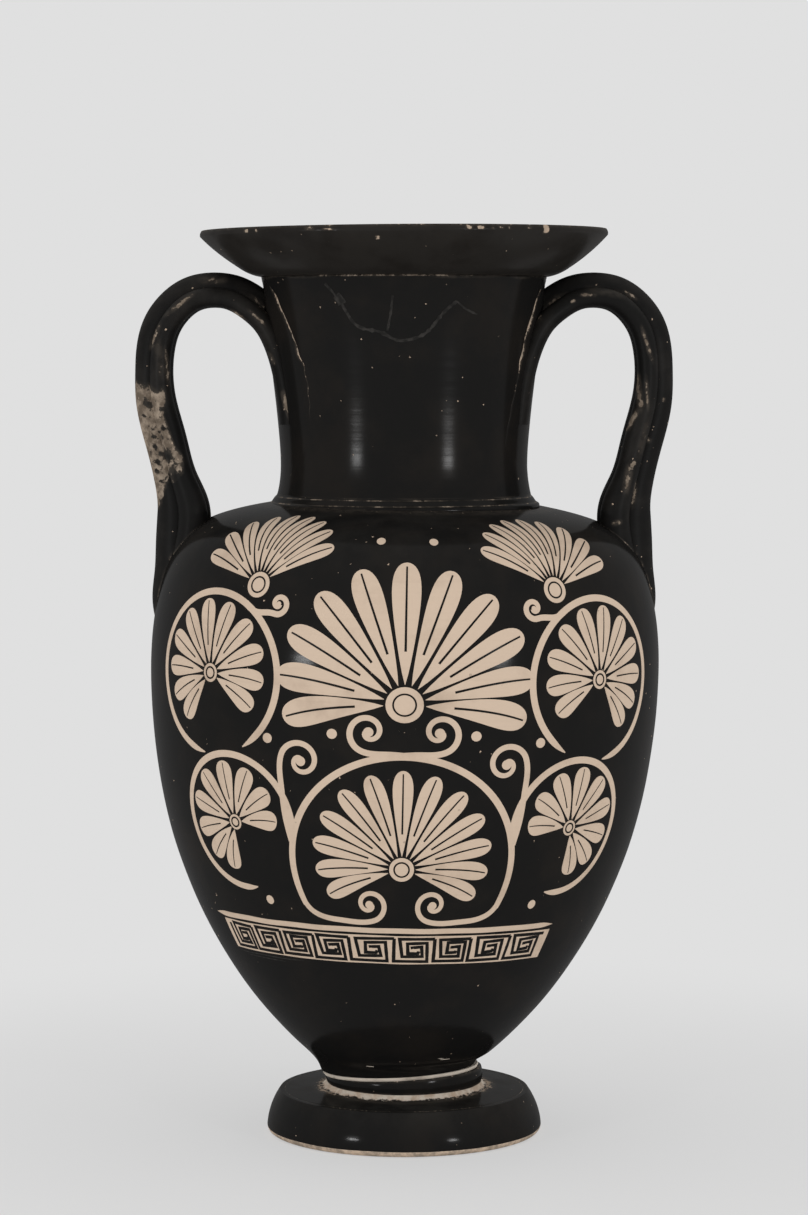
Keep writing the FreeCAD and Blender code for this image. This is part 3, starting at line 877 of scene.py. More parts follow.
# %% [markdown]
# ## The neck and its bead
# The neck was thrown apart and set on a bed of slip; a bead hides that joint, and another thin bed lies
# between neck and mouth. The neck is a turned profile, the bead and the beds are uneven rings as the collar
# is. The gloss is rubbed off the bead's two ridges and the slip under the mouth, in patches.

# %% Neck and bead
bead_radius = 50.4
bead_root_radius = 44.0
BEAD_PROFILE = (
    (0.5, -0.5), (0.45, 0.2), (0.1, 0.7), (-0.5, 1.0), (-1.1, 1.6), (-1.7, 2.5), (-2.1, 3.0), (-2.7, 3.6),
    (-3.1, 4.6), (-3.7, 6.4),
)
bead_ridges = (1.1, 3.2)
neck_slip_radii = (43.1, 47.8)
mouth_slip_radii = (48.2, 53.1)
mouth_base = 322.2


def make_neck():
    outer = smooth_through(neck_points, 150)
    profile = chained(outer, (neck_outline - (neck_wall, 0))[::-5])
    grid, azimuth = turned(profile, 352)
    is_outer = (np.arange(len(profile)) < len(outer))[:, None]
    ridge = wheel_ridges(azimuth, grid[..., 2], (0.005, 7, 15, 14, 3), (0.05, 1, 16, 8, 5))
    grid[..., :2] *= (1 + is_outer * ridge / neck_waist)[..., None]
    level = profile[:, 1:]
    uneven = 0.12 * level_ripple(17, 10, 24, azimuth) * (level > neck_top - 1.1)
    wear = is_outer * (0.24 * smoothstep(neck_top - 1.0, neck_top - 0.2, level) + uneven)
    wear = wear + is_outer * 0.40 * (1 - smoothstep(throat_level + 3.6, throat_level + 4.6, level))
    make_piece("thrown_neck", *closed_ring(grid), neck_gloss, "black_gloss", ["neck"], wear)


def make_bead():
    """The bead's section is a spline through BEAD_PROFILE. Its ridges are worn in patches, and the upper
    one's patches are those of the lower one, moved on by 77 points."""
    hand = 0.22 * level_ripple(31, 9, 16)
    profile = smooth_through(BEAD_PROFILE, 44)
    base = throat_level - 1.4
    rows = [(bead_root_radius, base), (bead_radius + 0.4, base)]
    rows += [(bead_radius + 0.6 * hand + out, throat_level + up) for out, up in profile]
    rows.append((bead_root_radius, throat_level + BEAD_PROFILE[-1][1]))
    patchy = 0.46 + 0.17 * level_ripple(32, 12, 40)
    worn = np.zeros((len(rows), 384))
    for ridge, shift in zip(bead_ridges, (0, 77)):
        worn[2:-1] += bell(profile[:, 1:] - ridge, 0.30) * np.roll(patchy, shift)
    uneven_ring("neck_bead_ring", rows, seam_gloss, "black_gloss", "neck_bead", wear=worn)


def make_neck_slip():
    inner, outer = neck_slip_radii
    base = throat_level - 0.9
    rows = [(inner, base), (outer, base), (outer, neck_base), (inner, neck_base)]
    uneven_ring("neck_slip_wedge", rows, slip_clay, "bare_clay", "neck_slip_bed", 192)


def make_mouth_slip():
    """The slip's edge swells a little. Its wear peaks at the front, 8 degrees to the left."""
    inner, outer = mouth_slip_radii
    swollen = outer + 0.25 + 0.12 * level_ripple(33, 12, 40)
    rows = [(inner, neck_top), (outer, neck_top), (swollen, neck_top + 0.3), (outer, mouth_base),
            (inner, mouth_base)]
    from_front = (azimuths() + math.radians(8) + math.pi) % (2 * math.pi) - math.pi
    strongest = bell(from_front, 0.42)
    worn = np.zeros((len(rows), 384)) + 0.34 + 0.16 * strongest + 0.10 * level_ripple(34, 12, 40)
    uneven_ring("mouth_slip_line", rows, seam_gloss, "bare_clay", "mouth_slip_bed", wear=worn)


make_neck()
make_bead()
make_neck_slip()
make_mouth_slip()

# %% [markdown]
# ### The mouth
# The mouth flares from a soft heel to a narrow flat lip and sits a touch lower on one side. Small flakes came
# off its edge: they are cut out of the turned shape as shallow bites, and the larger ones stand in a table of
# chips. The gloss is rubbed off the lip and the mouth's lower edge.

# %% Mouth
mouth_height = 17.8
rim_level = mouth_base + mouth_height
mouth_radius = 76.1
mouth_heel = 61.8
mouth_heel_rise = 3.4
mouth_seat_radius = 53.7
mouth_inner_radius = 48.1
lip_height = 2.2
lip_width = 3.5
mouth_tilt = math.tan(math.radians(0.35))
mouth_dip = mouth_tilt * mouth_radius
# Azimuth in degrees, drop below the rim, half width, half height, amount.
LIP_CHIPS = (
    (17.7, 1.2, 1.3, 0.9, 0.70), (21.0, 1.3, 1.6, 0.8, 0.70), (24.4, 1.5, 0.7, 0.5, 0.58),
    (27.0, 1.2, 0.8, 0.6, 0.60), (29.4, 1.4, 0.7, 0.6, 0.58), (42.2, 1.6, 1.6, 1.7, 0.78),
    (-48.3, 1.5, 1.4, 0.8, 0.66), (-44.1, 1.5, 0.8, 0.8, 0.62), (-26.2, 1.2, 2.2, 0.9, 0.50),
    (-20.8, 1.6, 2.6, 0.6, 0.54), (-7.2, 4.8, 1.2, 1.0, 0.56), (36.0, 1.3, 1.2, 0.5, 0.52),
    (131.0, 1.4, 1.5, 1.1, 0.68), (-118.0, 1.3, 1.8, 0.9, 0.62), (172.0, 1.5, 1.2, 1.0, 0.64),
)


def mouth_profile():
    """From the seat round the heel and out under the flare, over the lip and back down the inside."""
    bulge = mouth_heel_rise / 8
    seat = np.array((mouth_seat_radius, mouth_base))
    heel = np.array((mouth_heel, mouth_base + mouth_heel_rise))
    lip_root = np.array((mouth_radius, rim_level - lip_height))
    lip_outer = np.array((mouth_radius - lip_height / 4, rim_level))
    lip_inner = np.array((mouth_radius - lip_width, rim_level))
    inner_base = np.array((mouth_inner_radius, mouth_base))
    under_heel = ((mouth_seat_radius + mouth_heel) / 2, mouth_base + mouth_heel_rise / 3)
    return chained(
        arc_through(seat, under_heel, heel, 12),
        arc_through(heel, (heel + lip_root) / 2 + (bulge, -bulge), lip_root, 46),
        arc_through(lip_root, (mouth_radius, rim_level - lip_height / 2), lip_outer, 7),
        np.linspace(lip_outer, lip_inner, 8),
        arc_through(lip_inner, (inner_base + lip_inner) / 2 + (bulge, -bulge), inner_base, 46),
        np.linspace(inner_base, seat, 5),
    )


def make_mouth():
    """Bites lower and draw in the edge where a ripple is high. A chip fades out by e to the minus
    (across^4 + down^4), so that it has a flat floor."""
    profile = mouth_profile()
    radius, level = profile[:, :1], profile[:, 1:]
    grid, azimuth = turned(profile, 512)
    edge = bell(np.hypot(radius - (mouth_radius - lip_height / 4), level - rim_level), 1.3)
    bites = edge * smoothstep(1.05, 1.75, level_ripple(41, 16, 90, azimuth))
    grid[..., 2] -= 0.35 * bites
    outside = radius > mouth_heel - 5 + 0.7 * (level - mouth_base)
    chipped = 0 * bites
    for turn_deg, drop, half_wide, half_tall, amount in LIP_CHIPS:
        away = ((np.degrees(azimuth) - turn_deg + 180) % 360 - 180) * math.radians(mouth_radius) / half_wide
        below = (rim_level - drop - level) / half_tall
        chipped = np.maximum(chipped, amount * outside * np.exp(-(away**4) - below**4))
    ridge = wheel_ridges(azimuth, grid[..., 2], (0.005, 8, 42, 12, 3), (0.04, 1, 43, 8, 5))
    grid[..., :2] *= (1 + (ridge - 0.5 * bites - 0.25 * chipped) / mouth_radius)[..., None]
    tilt = smoothstep(mouth_base + 2.0, rim_level, level)
    grid[..., 2] += (mouth_tilt * grid[..., 0] - mouth_dip) * tilt
    nibbled = 0.38 + 0.09 * level_ripple(44, 14, 70, azimuth)
    rubbed = np.maximum(nibbled * edge + 0.12 * bites, chipped) + 0.26 * bell(level - mouth_base, 0.8)
    make_piece("flaring_mouth", *closed_ring(grid), mouth_gloss, "black_gloss", ["mouth"], rubbed)


make_mouth()

# %% [markdown]
# ## The handles
# Three coils of clay lie side by side in each handle. A coil is a section carried along a path: the path
# rises off the neck, bends over and comes down to the shoulder, and the section widens at both roots, where
# thumbs spread the clay. What would lie inside the neck or the shoulder is pressed on to the wall.

# %% Handle path
handle_projection = 5.3
handle_thickness = 13.8
handle_rise = 80.1
handle_reach = body_radius + handle_projection - handle_thickness / 2
coil_rows = 360
# Columns: how far out and how high, as shares of the lengths in handle_path, then the same of half the
# thickness and of the spread at a root.
NECK_ROOT_SHARES = np.array([
    (0.470, 0.380, 0.94, 1.00), (0.422, 0.492, 1.00, 1.00), (0.263, 0.645, 1.00, 0.86),
    (0.069, 0.752, 1.00, 0.66),
])
BEND_SHARES = np.array([
    (0.084, 0.866, 1.00, 0.42), (0.215, 0.937, 0.99, 0.20), (0.356, 0.984, 0.97, 0.07),
    (0.524, 1.000, 0.95, 0.00), (0.692, 0.982, 0.96, 0.00), (0.843, 0.917, 0.99, 0.00),
    (0.937, 0.835, 1.01, 0.00), (0.987, 0.729, 1.01, 0.00), (1.000, 0.621, 1.00, 0.00),
])
SHOULDER_LEG_SHARES = np.array([
    (0.976, 0.482, 1.06, 0.00), (0.938, 0.296, 1.10, 0.05), (0.898, 0.109, 1.15, 0.18),
])
SHOULDER_ROOT_SHARES = np.array([
    (0.870, 0.0100, 1.40, 0.42), (0.880, 0.0640, 1.36, 0.62), (0.915, 0.1200, 0.98, 0.72),
    (0.950, 0.1700, 0.58, 0.72), (0.941, 0.2130, 0.46, 0.60),
])


def handle_path():
    """Columns: distance from the axis, level, half thickness, spread. The first two space the spline."""
    blocks = (
        (NECK_ROOT_SHARES, neck_waist, -handle_thickness, handle_rise),
        (BEND_SHARES, neck_waist, handle_reach - neck_waist, handle_rise),
        (SHOULDER_LEG_SHARES, 0, body_radius, handle_rise),
        (SHOULDER_ROOT_SHARES, 0, body_radius, -body_height),
    )
    rows = np.concatenate([
        shares * (wide, tall, handle_thickness / 2, 1) + (start, throat_level, 0, 0)
        for shares, start, wide, tall in blocks
    ])
    return smooth_through(rows, coil_rows, distance_along(rows[:, :2]))


path = handle_path()
print("path rows", path.shape, "top", path[:, 1].max().round(1), "reach", path[:, 0].max().round(1))

# %% [markdown]
# ### The coils' sections
# A side coil is an oval whose joint with the middle one is flat. The middle coil fills the gap between them
# with a round crown and a round underside, so that two grooves run along the handle.

# %% Coil sections
coil_pitch, root_coil_pitch = 8.2, 12.5
coil_half_width, root_coil_half_width = 4.9, 7.4
side_shift_share, side_depth_share, middle_under_share = -0.44, 0.56, 0.86
outer_joint = math.radians(115)
inner_joint = math.radians(205)
crown_points = 21


def bow(half_width, level, crown, count):
    """Arcs from (w, a) to (-w, a) over (0, h), or under it where h is less than a: the centre is at h - R,
    with R = (w^2 + (h-a)^2) / 2(h-a)."""
    rise = crown - level
    radius = (half_width**2 + rise**2) / (2 * rise)
    up = np.sign(rise)
    limit = np.arctan2(half_width, up * (level - crown + radius))
    turn = limit[:, None] * np.linspace(1, -1, count)
    across = radius[:, None] * np.sin(turn) * up[:, None]
    return across, (crown - radius)[:, None] + radius[:, None] * np.cos(turn)


def side_section(half, spread, turn):
    """Across and out of an oval: cos and sin of the turn, times its half width and its depth."""
    aside = coil_pitch + spread * (root_coil_pitch - coil_pitch)
    width = coil_half_width + spread * (root_coil_half_width - coil_half_width)
    out = half[:, None] * (side_shift_share + side_depth_share * np.sin(turn))
    return aside[:, None] + width[:, None] * np.cos(turn), out


def between(first, last, share):
    """For every row, the numbers that lie at each share of the way from first to last."""
    return first[:, None] + share * (last - first)[:, None]


def coil_sections(place, half, spread):
    """Across and outward offsets of a coil's section for every row of the path."""
    inside = np.linspace(0, 1, 7)[1:-1]
    if place:
        turn = outer_joint + (inner_joint - 2 * math.pi - outer_joint) * np.linspace(0, 1, 47)
        across, out = side_section(half, spread, turn)
        flat_joint = [between(line[:, -1], line[:, 0], inside) for line in (across, out)]
        across, out = (np.concatenate(pair, 1) for pair in zip((across, out), flat_joint))
        return place * (across + 0.05), out
    joints = side_section(half, spread, np.array([outer_joint, inner_joint]))
    (groove, inner), (groove_out, inner_out) = (line.T for line in joints)
    crown, crown_out = bow(groove, groove_out, half, crown_points)
    under, under_out = bow(inner, inner_out, -half * middle_under_share, 13)
    down, down_out = between(groove, inner, inside), between(groove_out, inner_out, inside)
    across = np.concatenate([crown, -down, -under, down[:, ::-1]], 1)
    return across, np.concatenate([crown_out, down_out, under_out, down_out[:, ::-1]], 1)


print("middle coil's section", coil_sections(0, path[:, 2], path[:, 3])[0].shape)

# %% [markdown]
# ### Setting the coils and wearing them
# The wear field says where gloss is rubbed or flaked away: along the grooves and seams, at single scars, and
# in one large patch down the outside of the left handle, with islands of gloss left in it. The material adds
# the rag of an edge.

# %% Coils
SIDE_NAMES = {-1: "left", 1: "right"}
coil_sink = 0.35
# Scars: distance from the axis, level, slant in degrees, half length, half width, amount.
HANDLE_SCARS = {
    -1: (
        (52.1, 310.4, 46.7, 8.0, 1.1, 0.61), (54.5, 307.0, 42.0, 5.0, 0.9, 0.56),
        (71.1, 321.0, 0.0, 6.0, 1.8, 0.47), (61.5, 307.8, 35.0, 4.0, 1.0, 0.57),
        (83.0, 312.0, -38.0, 8.0, 1.1, 0.55), (92.5, 300.0, -68.0, 6.0, 1.2, 0.52),
        (88.0, 289.0, 86.0, 8.0, 0.9, 0.54), (49.0, 292.0, 62.0, 3.0, 1.0, 0.50),
        (90.5, 292.0, 80.0, 9.0, 2.4, 0.36),
    ),
    1: (
        (68.3, 315.3, 0.0, 3.4, 0.9, 0.60), (84.3, 315.4, -36.0, 3.4, 0.9, 0.58),
        (90.2, 297.0, -72.0, 7.5, 1.0, 0.60), (87.3, 279.6, -86.0, 8.0, 1.2, 0.61),
        (88.2, 275.3, -80.0, 1.8, 1.1, 0.66), (90.2, 279.0, -86.0, 7.0, 0.8, 0.57),
        (84.8, 268.7, 62.0, 5.5, 1.1, 0.60), (91.5, 261.2, 70.0, 1.2, 0.9, 0.60),
        (83.2, 247.5, 80.0, 7.0, 1.8, 0.53), (85.0, 252.6, 40.0, 1.8, 1.1, 0.58),
        (62.6, 313.0, 20.0, 1.2, 0.8, 0.58), (49.2, 306.6, 30.0, 2.4, 1.6, 0.58),
        (97.0, 276.4, 80.0, 1.0, 0.8, 0.62), (86.0, 241.0, 84.0, 6.0, 1.0, 0.55),
        (79.0, 231.0, 15.0, 2.4, 1.2, 0.52), (75.0, 316.5, -10.0, 9.0, 2.2, 0.34),
        (89.0, 262.0, 75.0, 9.0, 2.0, 0.34),
    ),
}
# The large patch starts this far out on the coils, as a share of their half thickness, at each level.
PATCH_LIMITS = (
    (233, 0.90), (237, 0.72), (242, 0.50), (246, 0.15), (249, -0.70), (256, -0.85), (262, -0.55),
    (270, -0.45), (276, -0.70), (284, -0.85),
)
# Islands of gloss in it: level, how far out, size.
PATCH_ISLANDS = (
    (275.0, 0.35, 1.5), (262.5, 0.45, 0.8), (259.0, 0.52, 0.8), (256.5, 0.32, 0.7), (255.5, -0.03, 2.1),
    (247.5, -0.22, 3.4), (242.5, -0.02, 2.6), (266.0, -0.20, 0.8), (253.0, 0.60, 0.9), (250.0, 0.72, 0.7),
    (246.0, 0.62, 0.7), (270.5, 0.68, 0.7), (239.0, 0.60, 0.9), (273.0, -0.35, 0.7), (264.5, 0.10, 0.6),
)


def large_patch(place, z, out_share, uneven):
    """Worn wherever a point is further out than the patch's limit at its level, less the islands."""
    level = z + 2.4 * uneven - 2.0 * out_share
    limit = np.interp(level, *np.transpose(PATCH_LIMITS))
    patch = smoothstep(limit - 0.12, limit + 0.22, out_share) * (1 - smoothstep(279.0, 284.5, level))
    patch = (patch * (0.63 if place < 1 else 0.50) + 0.07 * uneven) * smoothstep(228.0, 240.0, level)
    for island_level, out, size in PATCH_ISLANDS:
        aside = (out_share - out) * handle_thickness / 2
        patch = patch - 0.45 * bell(np.hypot(z - island_level, aside), size)
    return patch


def handle_wear(side, place, grid, out_share, above_neck, above_body, groove_near):
    """Wear between 0 and 1 from where a point is: near the seams, in the grooves, at the scars and in the
    large patch. A scar fades out by e to the minus (along^4 + aside^2), in its own slanted directions."""
    x, y, z = np.moveaxis(grid, -1, 0)
    away = np.abs(x)
    uneven = ripple(0.9 * x, y * 2, 51 + place, 10, 2)
    worn_arch = smoothstep(64.0, 55.0, away) * smoothstep(292.0, 300.0, z)
    broken = smoothstep(-0.9, 0.5, ripple(0.21 * z, x, 55 + place, 8, 3))
    grooves = groove_near * (0.12 + 0.50 * worn_arch * broken)
    seam = 0.22 * bell(above_neck, 0.55) * smoothstep(250.0, 275.0, z)
    seam = seam + 0.46 * bell(above_body, 0.45) * (above_body > -0.15)
    wear = grooves + seam + 0.05 * uneven
    for across, level, slant_deg, half_long, half_wide, amount in HANDLE_SCARS[side]:
        slant = math.radians(slant_deg)
        along = (away - across) * math.cos(slant) + (z - level) * math.sin(slant)
        aside = (z - level) * math.cos(slant) - (away - across) * math.sin(slant)
        scar = np.exp(-((along / half_long) ** 4) - (aside / half_wide) ** 2)
        wear = np.maximum(wear, amount * (y < 1) * scar)
    if side < 0:
        wear = np.maximum(wear, large_patch(place, z, out_share, uneven))
    return np.clip(wear, 0, 1)


def make_coil(side, place, name):
    """Each point goes out from the path by the section's offset, along the path's normal (-dz, dr). Then
    what lies inside the neck or the leaning body is pressed on to it."""
    half, spread = path[:, 2], path[:, 3]
    across, out = coil_sections(place, half, spread)
    along = np.gradient(path[:, :2], axis=0)
    along /= np.linalg.norm(along, axis=1)[:, None]
    x = path[:, :1] - out * along[:, 1:]
    z = path[:, 1:2] + out * along[:, :1]
    wobble = 1 + 0.022 * ripple(0.11 * x, z, 61 + place + 5 * side, 8, 3)
    grid, above_neck = pressed_on(np.stack([side * x, across * wobble, z], -1), neck_outline, coil_sink)
    above_neck = np.where(grid[..., 2] < neck_base, 9.0, above_neck)
    upright, above_body = pressed_on(leaned(grid, back=True), body_outline, coil_sink)
    grid = leaned(upright)
    slot = np.arange(across.shape[1])
    second_groove = len(slot) if place else crown_points - 1
    groove_near = bell(np.minimum(slot, np.abs(second_groove - slot)), 2.2)[None, :]
    wear = handle_wear(side, place, grid, out / half[:, None], above_neck, above_body, groove_near)
    where = SIDE_NAMES[side]
    make_piece(f"{where}_{name}_coil", *capped(grid), handle_gloss, "black_gloss",
               [f"{where}_handle_{name}_coil"], wear, sharp_deg=50)


for side in SIDE_NAMES:
    for place, name in ((-1, "front"), (0, "middle"), (1, "back")):
        make_coil(side, place, name)

# %% [markdown]
# ## The smeared wads
# Clay was smeared between each handle and the neck. The wad is thickest behind the handle and runs out along
# an edge whose azimuth changes with the height: this edge is read on either side, as the thumb left
# it. Gloss broke off along it, which the wear field draws as a thin pale line, with a few wider smears.

# %% Neck wads
wad_proud = 2.1
wad_base = neck_base + 4
wad_sunk = 0.12
wad_edge_depth = 0.3
wad_under = 0.6
# Level and half angle of the edge.
SMEAR_EDGES = {
    -1: ((243, 34), (252, 39), (262, 41.5), (275, 42), (290, 39), (302, 32), (321, 19)),
    1: ((243, 35), (250, 38), (258, 40), (266, 38), (275, 33), (288, 28), (303, 24), (321, 13)),
}
# Middle level, half height, half width, amount.
SMEARS = {
    -1: ((316.0, 12.0, 2.4, 0.64), (294.0, 5.0, 1.8, 0.63)),
    1: ((304.5, 4.5, 2.3, 0.70), (292.5, 6.0, 1.9, 0.68), (317.0, 6.0, 1.6, 0.60), (254.0, 7.0, 1.2, 0.60)),
}


def make_wad(side):
    """Height over the neck: proud times the 0.7th power of 1 - (turn / edge)^2, and past the edge it goes
    under the skin. Two such sheets and a skirt round their rims close the wad."""
    turn = np.radians(np.linspace(-54, 54, 170))[None, :]
    level = np.linspace(wad_base, neck_top - 0.8, 150)[:, None]
    neck_here = neck_radius_at(level)
    edge = np.radians(np.interp(level, *np.transpose(SMEAR_EDGES[side])))
    edge = (edge + 0.016 * ripple(0 * level, level * 4, 71 + side)) * (1 + 0.03 * np.sign(turn) * side)
    inside = 1 - (turn / edge) ** 2
    at_top = smoothstep(neck_top - 12, neck_top - 1, level)
    ends = smoothstep(wad_base, wad_base + 54, level) * (1 - 0.9 * at_top)
    proud = np.where(inside > 0, wad_proud * np.abs(inside) ** 0.7 * ends, 3 * inside) - wad_sunk
    top = neck_here + np.maximum(proud, -wad_edge_depth)
    radius = np.stack([top, neck_here + 0 * turn - wad_under])
    grid = np.stack([side * radius * np.cos(turn), radius * np.sin(turn), level + 0 * radius], -1)

    rows, columns = top.shape
    count = rows * columns
    rim = np.concatenate([
        np.arange(columns), np.arange(1, rows) * columns + columns - 1,
        (rows - 1) * columns + np.arange(columns - 2, -1, -1), np.arange(rows - 2, 0, -1) * columns,
    ])
    skirt = np.stack([rim, np.roll(rim, -1), np.roll(rim, -1) + count, rim + count], 1)
    outer = grid_faces(rows, columns, close_columns=False)
    faces = [outer, outer[:, ::-1] + count, skirt[:, ::-1]]

    width = 0.62 + 0.75 * smoothstep(285.0, 310.0, level)
    off_edge = (np.abs(turn) - edge) * neck_here
    seam = bell(off_edge, width) * smoothstep(246.0, 262.0, level)
    wear = seam * (0.62 + 0.16 * ripple(3 * turn, level * 4, 75 + side, 12, 5))
    for middle, half_tall, half_wide, amount in SMEARS[side]:
        wear = np.maximum(wear, amount * bell(level - middle, half_tall) * bell(off_edge, half_wide))
    where = SIDE_NAMES[side]
    make_piece(f"{where}_smeared_wad", grid.reshape(-1, 3), faces, body_gloss, "black_gloss",
               [f"{where}_neck_wad"], wear)


for side in SIDE_NAMES:
    make_wad(side)

# %% [markdown]
# ## Drawing on a curved body
# The painter left the ornament in the clay's own colour and filled in round it, so its edges stand a hair's
# breadth above the pot's skin, and fine black lines lie on top. It is drawn flat, in millimetres sideways and
# up from the meander's top, and then wrapped round the body. A line that is thickened to a strip, and a strip
# that is given two faces and a rim, is enough for every leaf, tendril and key of it.

# %% Strips and slabs
meander_top = 88.8
body_climb = distance_along(body_outline)
body_climb -= np.interp(meander_top, body_outline[:, 1], body_climb)
body_normals = side_normals(body_outline)
sunk = -0.12
band_lift = 0.09


def on_body(flat, lift, girth, facing):
    """Drawing to space: azimuth = sideways / girth + facing, the climb is walked along the body's profile,
    and lift goes out along the profile's normal."""
    radius, level = (np.interp(flat[..., 1], body_climb, body_outline[:, k]) for k in (0, 1))
    out_radius, out_level = (np.interp(flat[..., 1], body_climb, body_normals[:, k]) for k in (0, 1))
    azimuth = flat[..., 0] / girth + facing
    radius, level = radius + lift * out_radius, level + lift * out_level
    return leaned(np.stack([radius * np.sin(azimuth), -radius * np.cos(azimuth), level], -1))


def strip(line, half_width, across=3):
    """A line thickened both ways along its mitres: with the unit normals n, m of the legs before and after a
    point, the mitre is (n + m) / (1 + n . m). line is (..., rows, 2), the result (..., rows, across, 2)."""
    leg = np.diff(line, axis=-2)
    leg = leg / np.linalg.norm(leg, axis=-1, keepdims=True)
    side = np.stack([-leg[..., 1], leg[..., 0]], -1)
    before = np.concatenate([side[..., :1, :], side], -2)
    after = np.concatenate([side, side[..., -1:, :]], -2)
    mitre = (before + after) / (1 + (before * after).sum(-1, keepdims=True))
    reach = np.maximum(half_width + 0 * line[..., 0], 0.06)[..., None] * mitre
    return line[..., None, :] + np.linspace(-1, 1, across)[:, None] * reach[..., None, :]


def slabs(strips, high, wrap, low=sunk):
    """Closed slabs from strips (..., rows, across, 2): the face at the lift high, and the two edges again at
    the lift low. wrap(flat, lift) lays them on the pot."""
    return capped(np.concatenate([wrap(strips, high), wrap(strips[..., [-1, 0], :], low)], -2))


def joined(parts):
    """Several (points, faces) put in one mesh: each set of faces is moved on by the points before it."""
    starts = np.cumsum([0] + [len(points) for points, _ in parts])
    faces = [face_set + start for (_, sets), start in zip(parts, starts) for face_set in sets]
    return np.concatenate([points for points, _ in parts]), faces


def make_drawing(name, parts, black=False):
    """One piece of reserved clay, or of black lines, from slabs."""
    finish = (painted_line, "black_gloss") if black else (reserved_clay, "bare_clay")
    make_piece(name, *joined(parts), *finish)


print("drawing plane: climb", body_climb[[0, -1]].round(1))

# %% [markdown]
# ## Mended cracks
# The neck was once broken and glued. The joins were filled and touched in with a slightly paler black, which
# shows as a few wandering lines. Each is a thin strip on the neck, walked through listed points of
# azimuth and level.

# %% Mended cracks
FILL_BLACK = (0.016, 0.015, 0.014)
FILL_PALE = (0.042, 0.039, 0.036)
CRACKS = (
    (((-33, 319.0), (-30, 316.0), (-27.4, 313.0), (-24, 308.0), (-20.8, 304.3), (-15, 302.3), (-10.4, 301.6),
      (-3, 298.6), (3, 298.9), (9, 301.0), (16, 308.0), (22, 312.6)), 0.55),
    (((-4.6, 314.6), (-5.4, 309.0), (-7.0, 302.0)), 0.40),
    (((22, 312.6), (26, 310.0), (32, 307.9)), 0.35),
    (((-28.6, 314.8), (-27.0, 313.2), (-26.0, 311.6)), 1.5),
)


def make_crack_fill():
    material, tree, shader = new_material("crack_fill")
    patchy = ramp(noise(object_place(tree), 500.0, 4.0), 0.35, 0.7)
    give(shader, {"Base Color": blended(patchy, FILL_BLACK, FILL_PALE), "Roughness": 0.7,
                  "Specular IOR Level": 0.10})
    return material


def on_neck(flat, lift):
    """x = r sin a, y = -r cos a on the neck, whose radius is read off its outline at each level."""
    level, azimuth = flat[..., 1], flat[..., 0] / neck_waist
    radius = neck_radius_at(level) + lift
    return np.stack([radius * np.sin(azimuth), -radius * np.cos(azimuth), level], -1)


def crack(points, half_width):
    """A line as wide as the crack, wider and narrower by a third."""
    line = smooth_through(np.asarray(points) * (math.radians(1) * neck_waist, 1), 60)
    uneven = 1 + 0.35 * ripple(line[:, 0] * 2, line[:, 1] * 9, 91, 10, 3)
    return slabs(strip(line, half_width * uneven), 0.05, on_neck, low=-0.15)


crack_fill = make_crack_fill()
make_piece("mended_cracks", *joined([crack(*row) for row in CRACKS]), crack_fill, "black_gloss")

# %% [markdown]
# ## The meander
# The running key stands on its own reserved band. Each unit is two brush strokes that turn in towards its
# middle, one from each side, and the second runs on into the next unit. The units are not all as wide, and
# the brush wandered a little, so the corners are moved by the ripple field.

# %% Meander
meander_girth = 76.0
reserved_line = (-2.15, 0.0)
key_field = (-15.66, -3.2)
key_margins_deg = (-2.3, 1.7)
key_bottom, key_rise = -14.3, 9.78
key_half_width = 0.66
key_lift = 0.13
INNER_KEY = np.array([
    (0, 1), (0, 0), (0.85, 0), (0.82, 0.84), (0.35, 0.82), (0.36, 0.36), (0.60, 0.38), (0.62, 0.47),
])
OUTER_KEY = np.array([
    (1, 1), (0.15, 1), (0.21, 0.21), (0.71, 0.22), (0.68, 0.66), (0.475, 0.63), (0.48, 0.57),
])
# What each side of the jar shows: the ends of the line above, and where the units meet.
front_band = ((-60.8, 45.8), (-55.5, -45.9, -35.5, -24.9, -14.2, -1.8, 9.6, 19.9, 31.6, 43.8))
back_band = ((-31.0, 31.0), (-27.5, -16.8, -5.4, 5.2, 16.6, 27.4))
# Faint strokes: their ends in degrees, and the level of their lower edge.
DILUTE_TRACES = (((-57.0, -30.0), -17.3), ((-54.0, -37.0), -18.6))
STEM_SCRATCHES = (((24.6, 31.0), -69.2), ((23.0, 26.5), -68.4), ((-20.5, -15.5), -74.6))


def on_band(facing=0.0):
    return partial(on_body, girth=meander_girth, facing=facing)


def band(ends_deg, low, high, taper):
    """A level strip between two azimuths. Its width grows from nothing over taper degrees at each end."""
    turn = np.linspace(*ends_deg, 220)
    half = (high - low) / 2
    if taper:
        half = half * np.sqrt(smoothstep(0, taper, np.minimum(turn - ends_deg[0], ends_deg[1] - turn)))
    uneven = 0.10 * ripple(np.radians(turn) * 3, 0 * turn, int(-low * 7), 9, 9)
    line = np.stack([np.radians(turn) * meander_girth, (low + high) / 2 + uneven], 1)
    return strip(line, half, 7)


def legs_of(corners, steps=4):
    """Each straight leg of a path cut in equal steps, so that it can bend round the pot."""
    share = np.linspace(0, 1, steps + 1)[:-1]
    inner = corners[..., :-1, None, :] + share[:, None] * np.diff(corners, axis=-2)[..., None, :]
    return np.concatenate([inner.reshape(*corners.shape[:-2], -1, 2), corners[..., -1:, :]], -2)


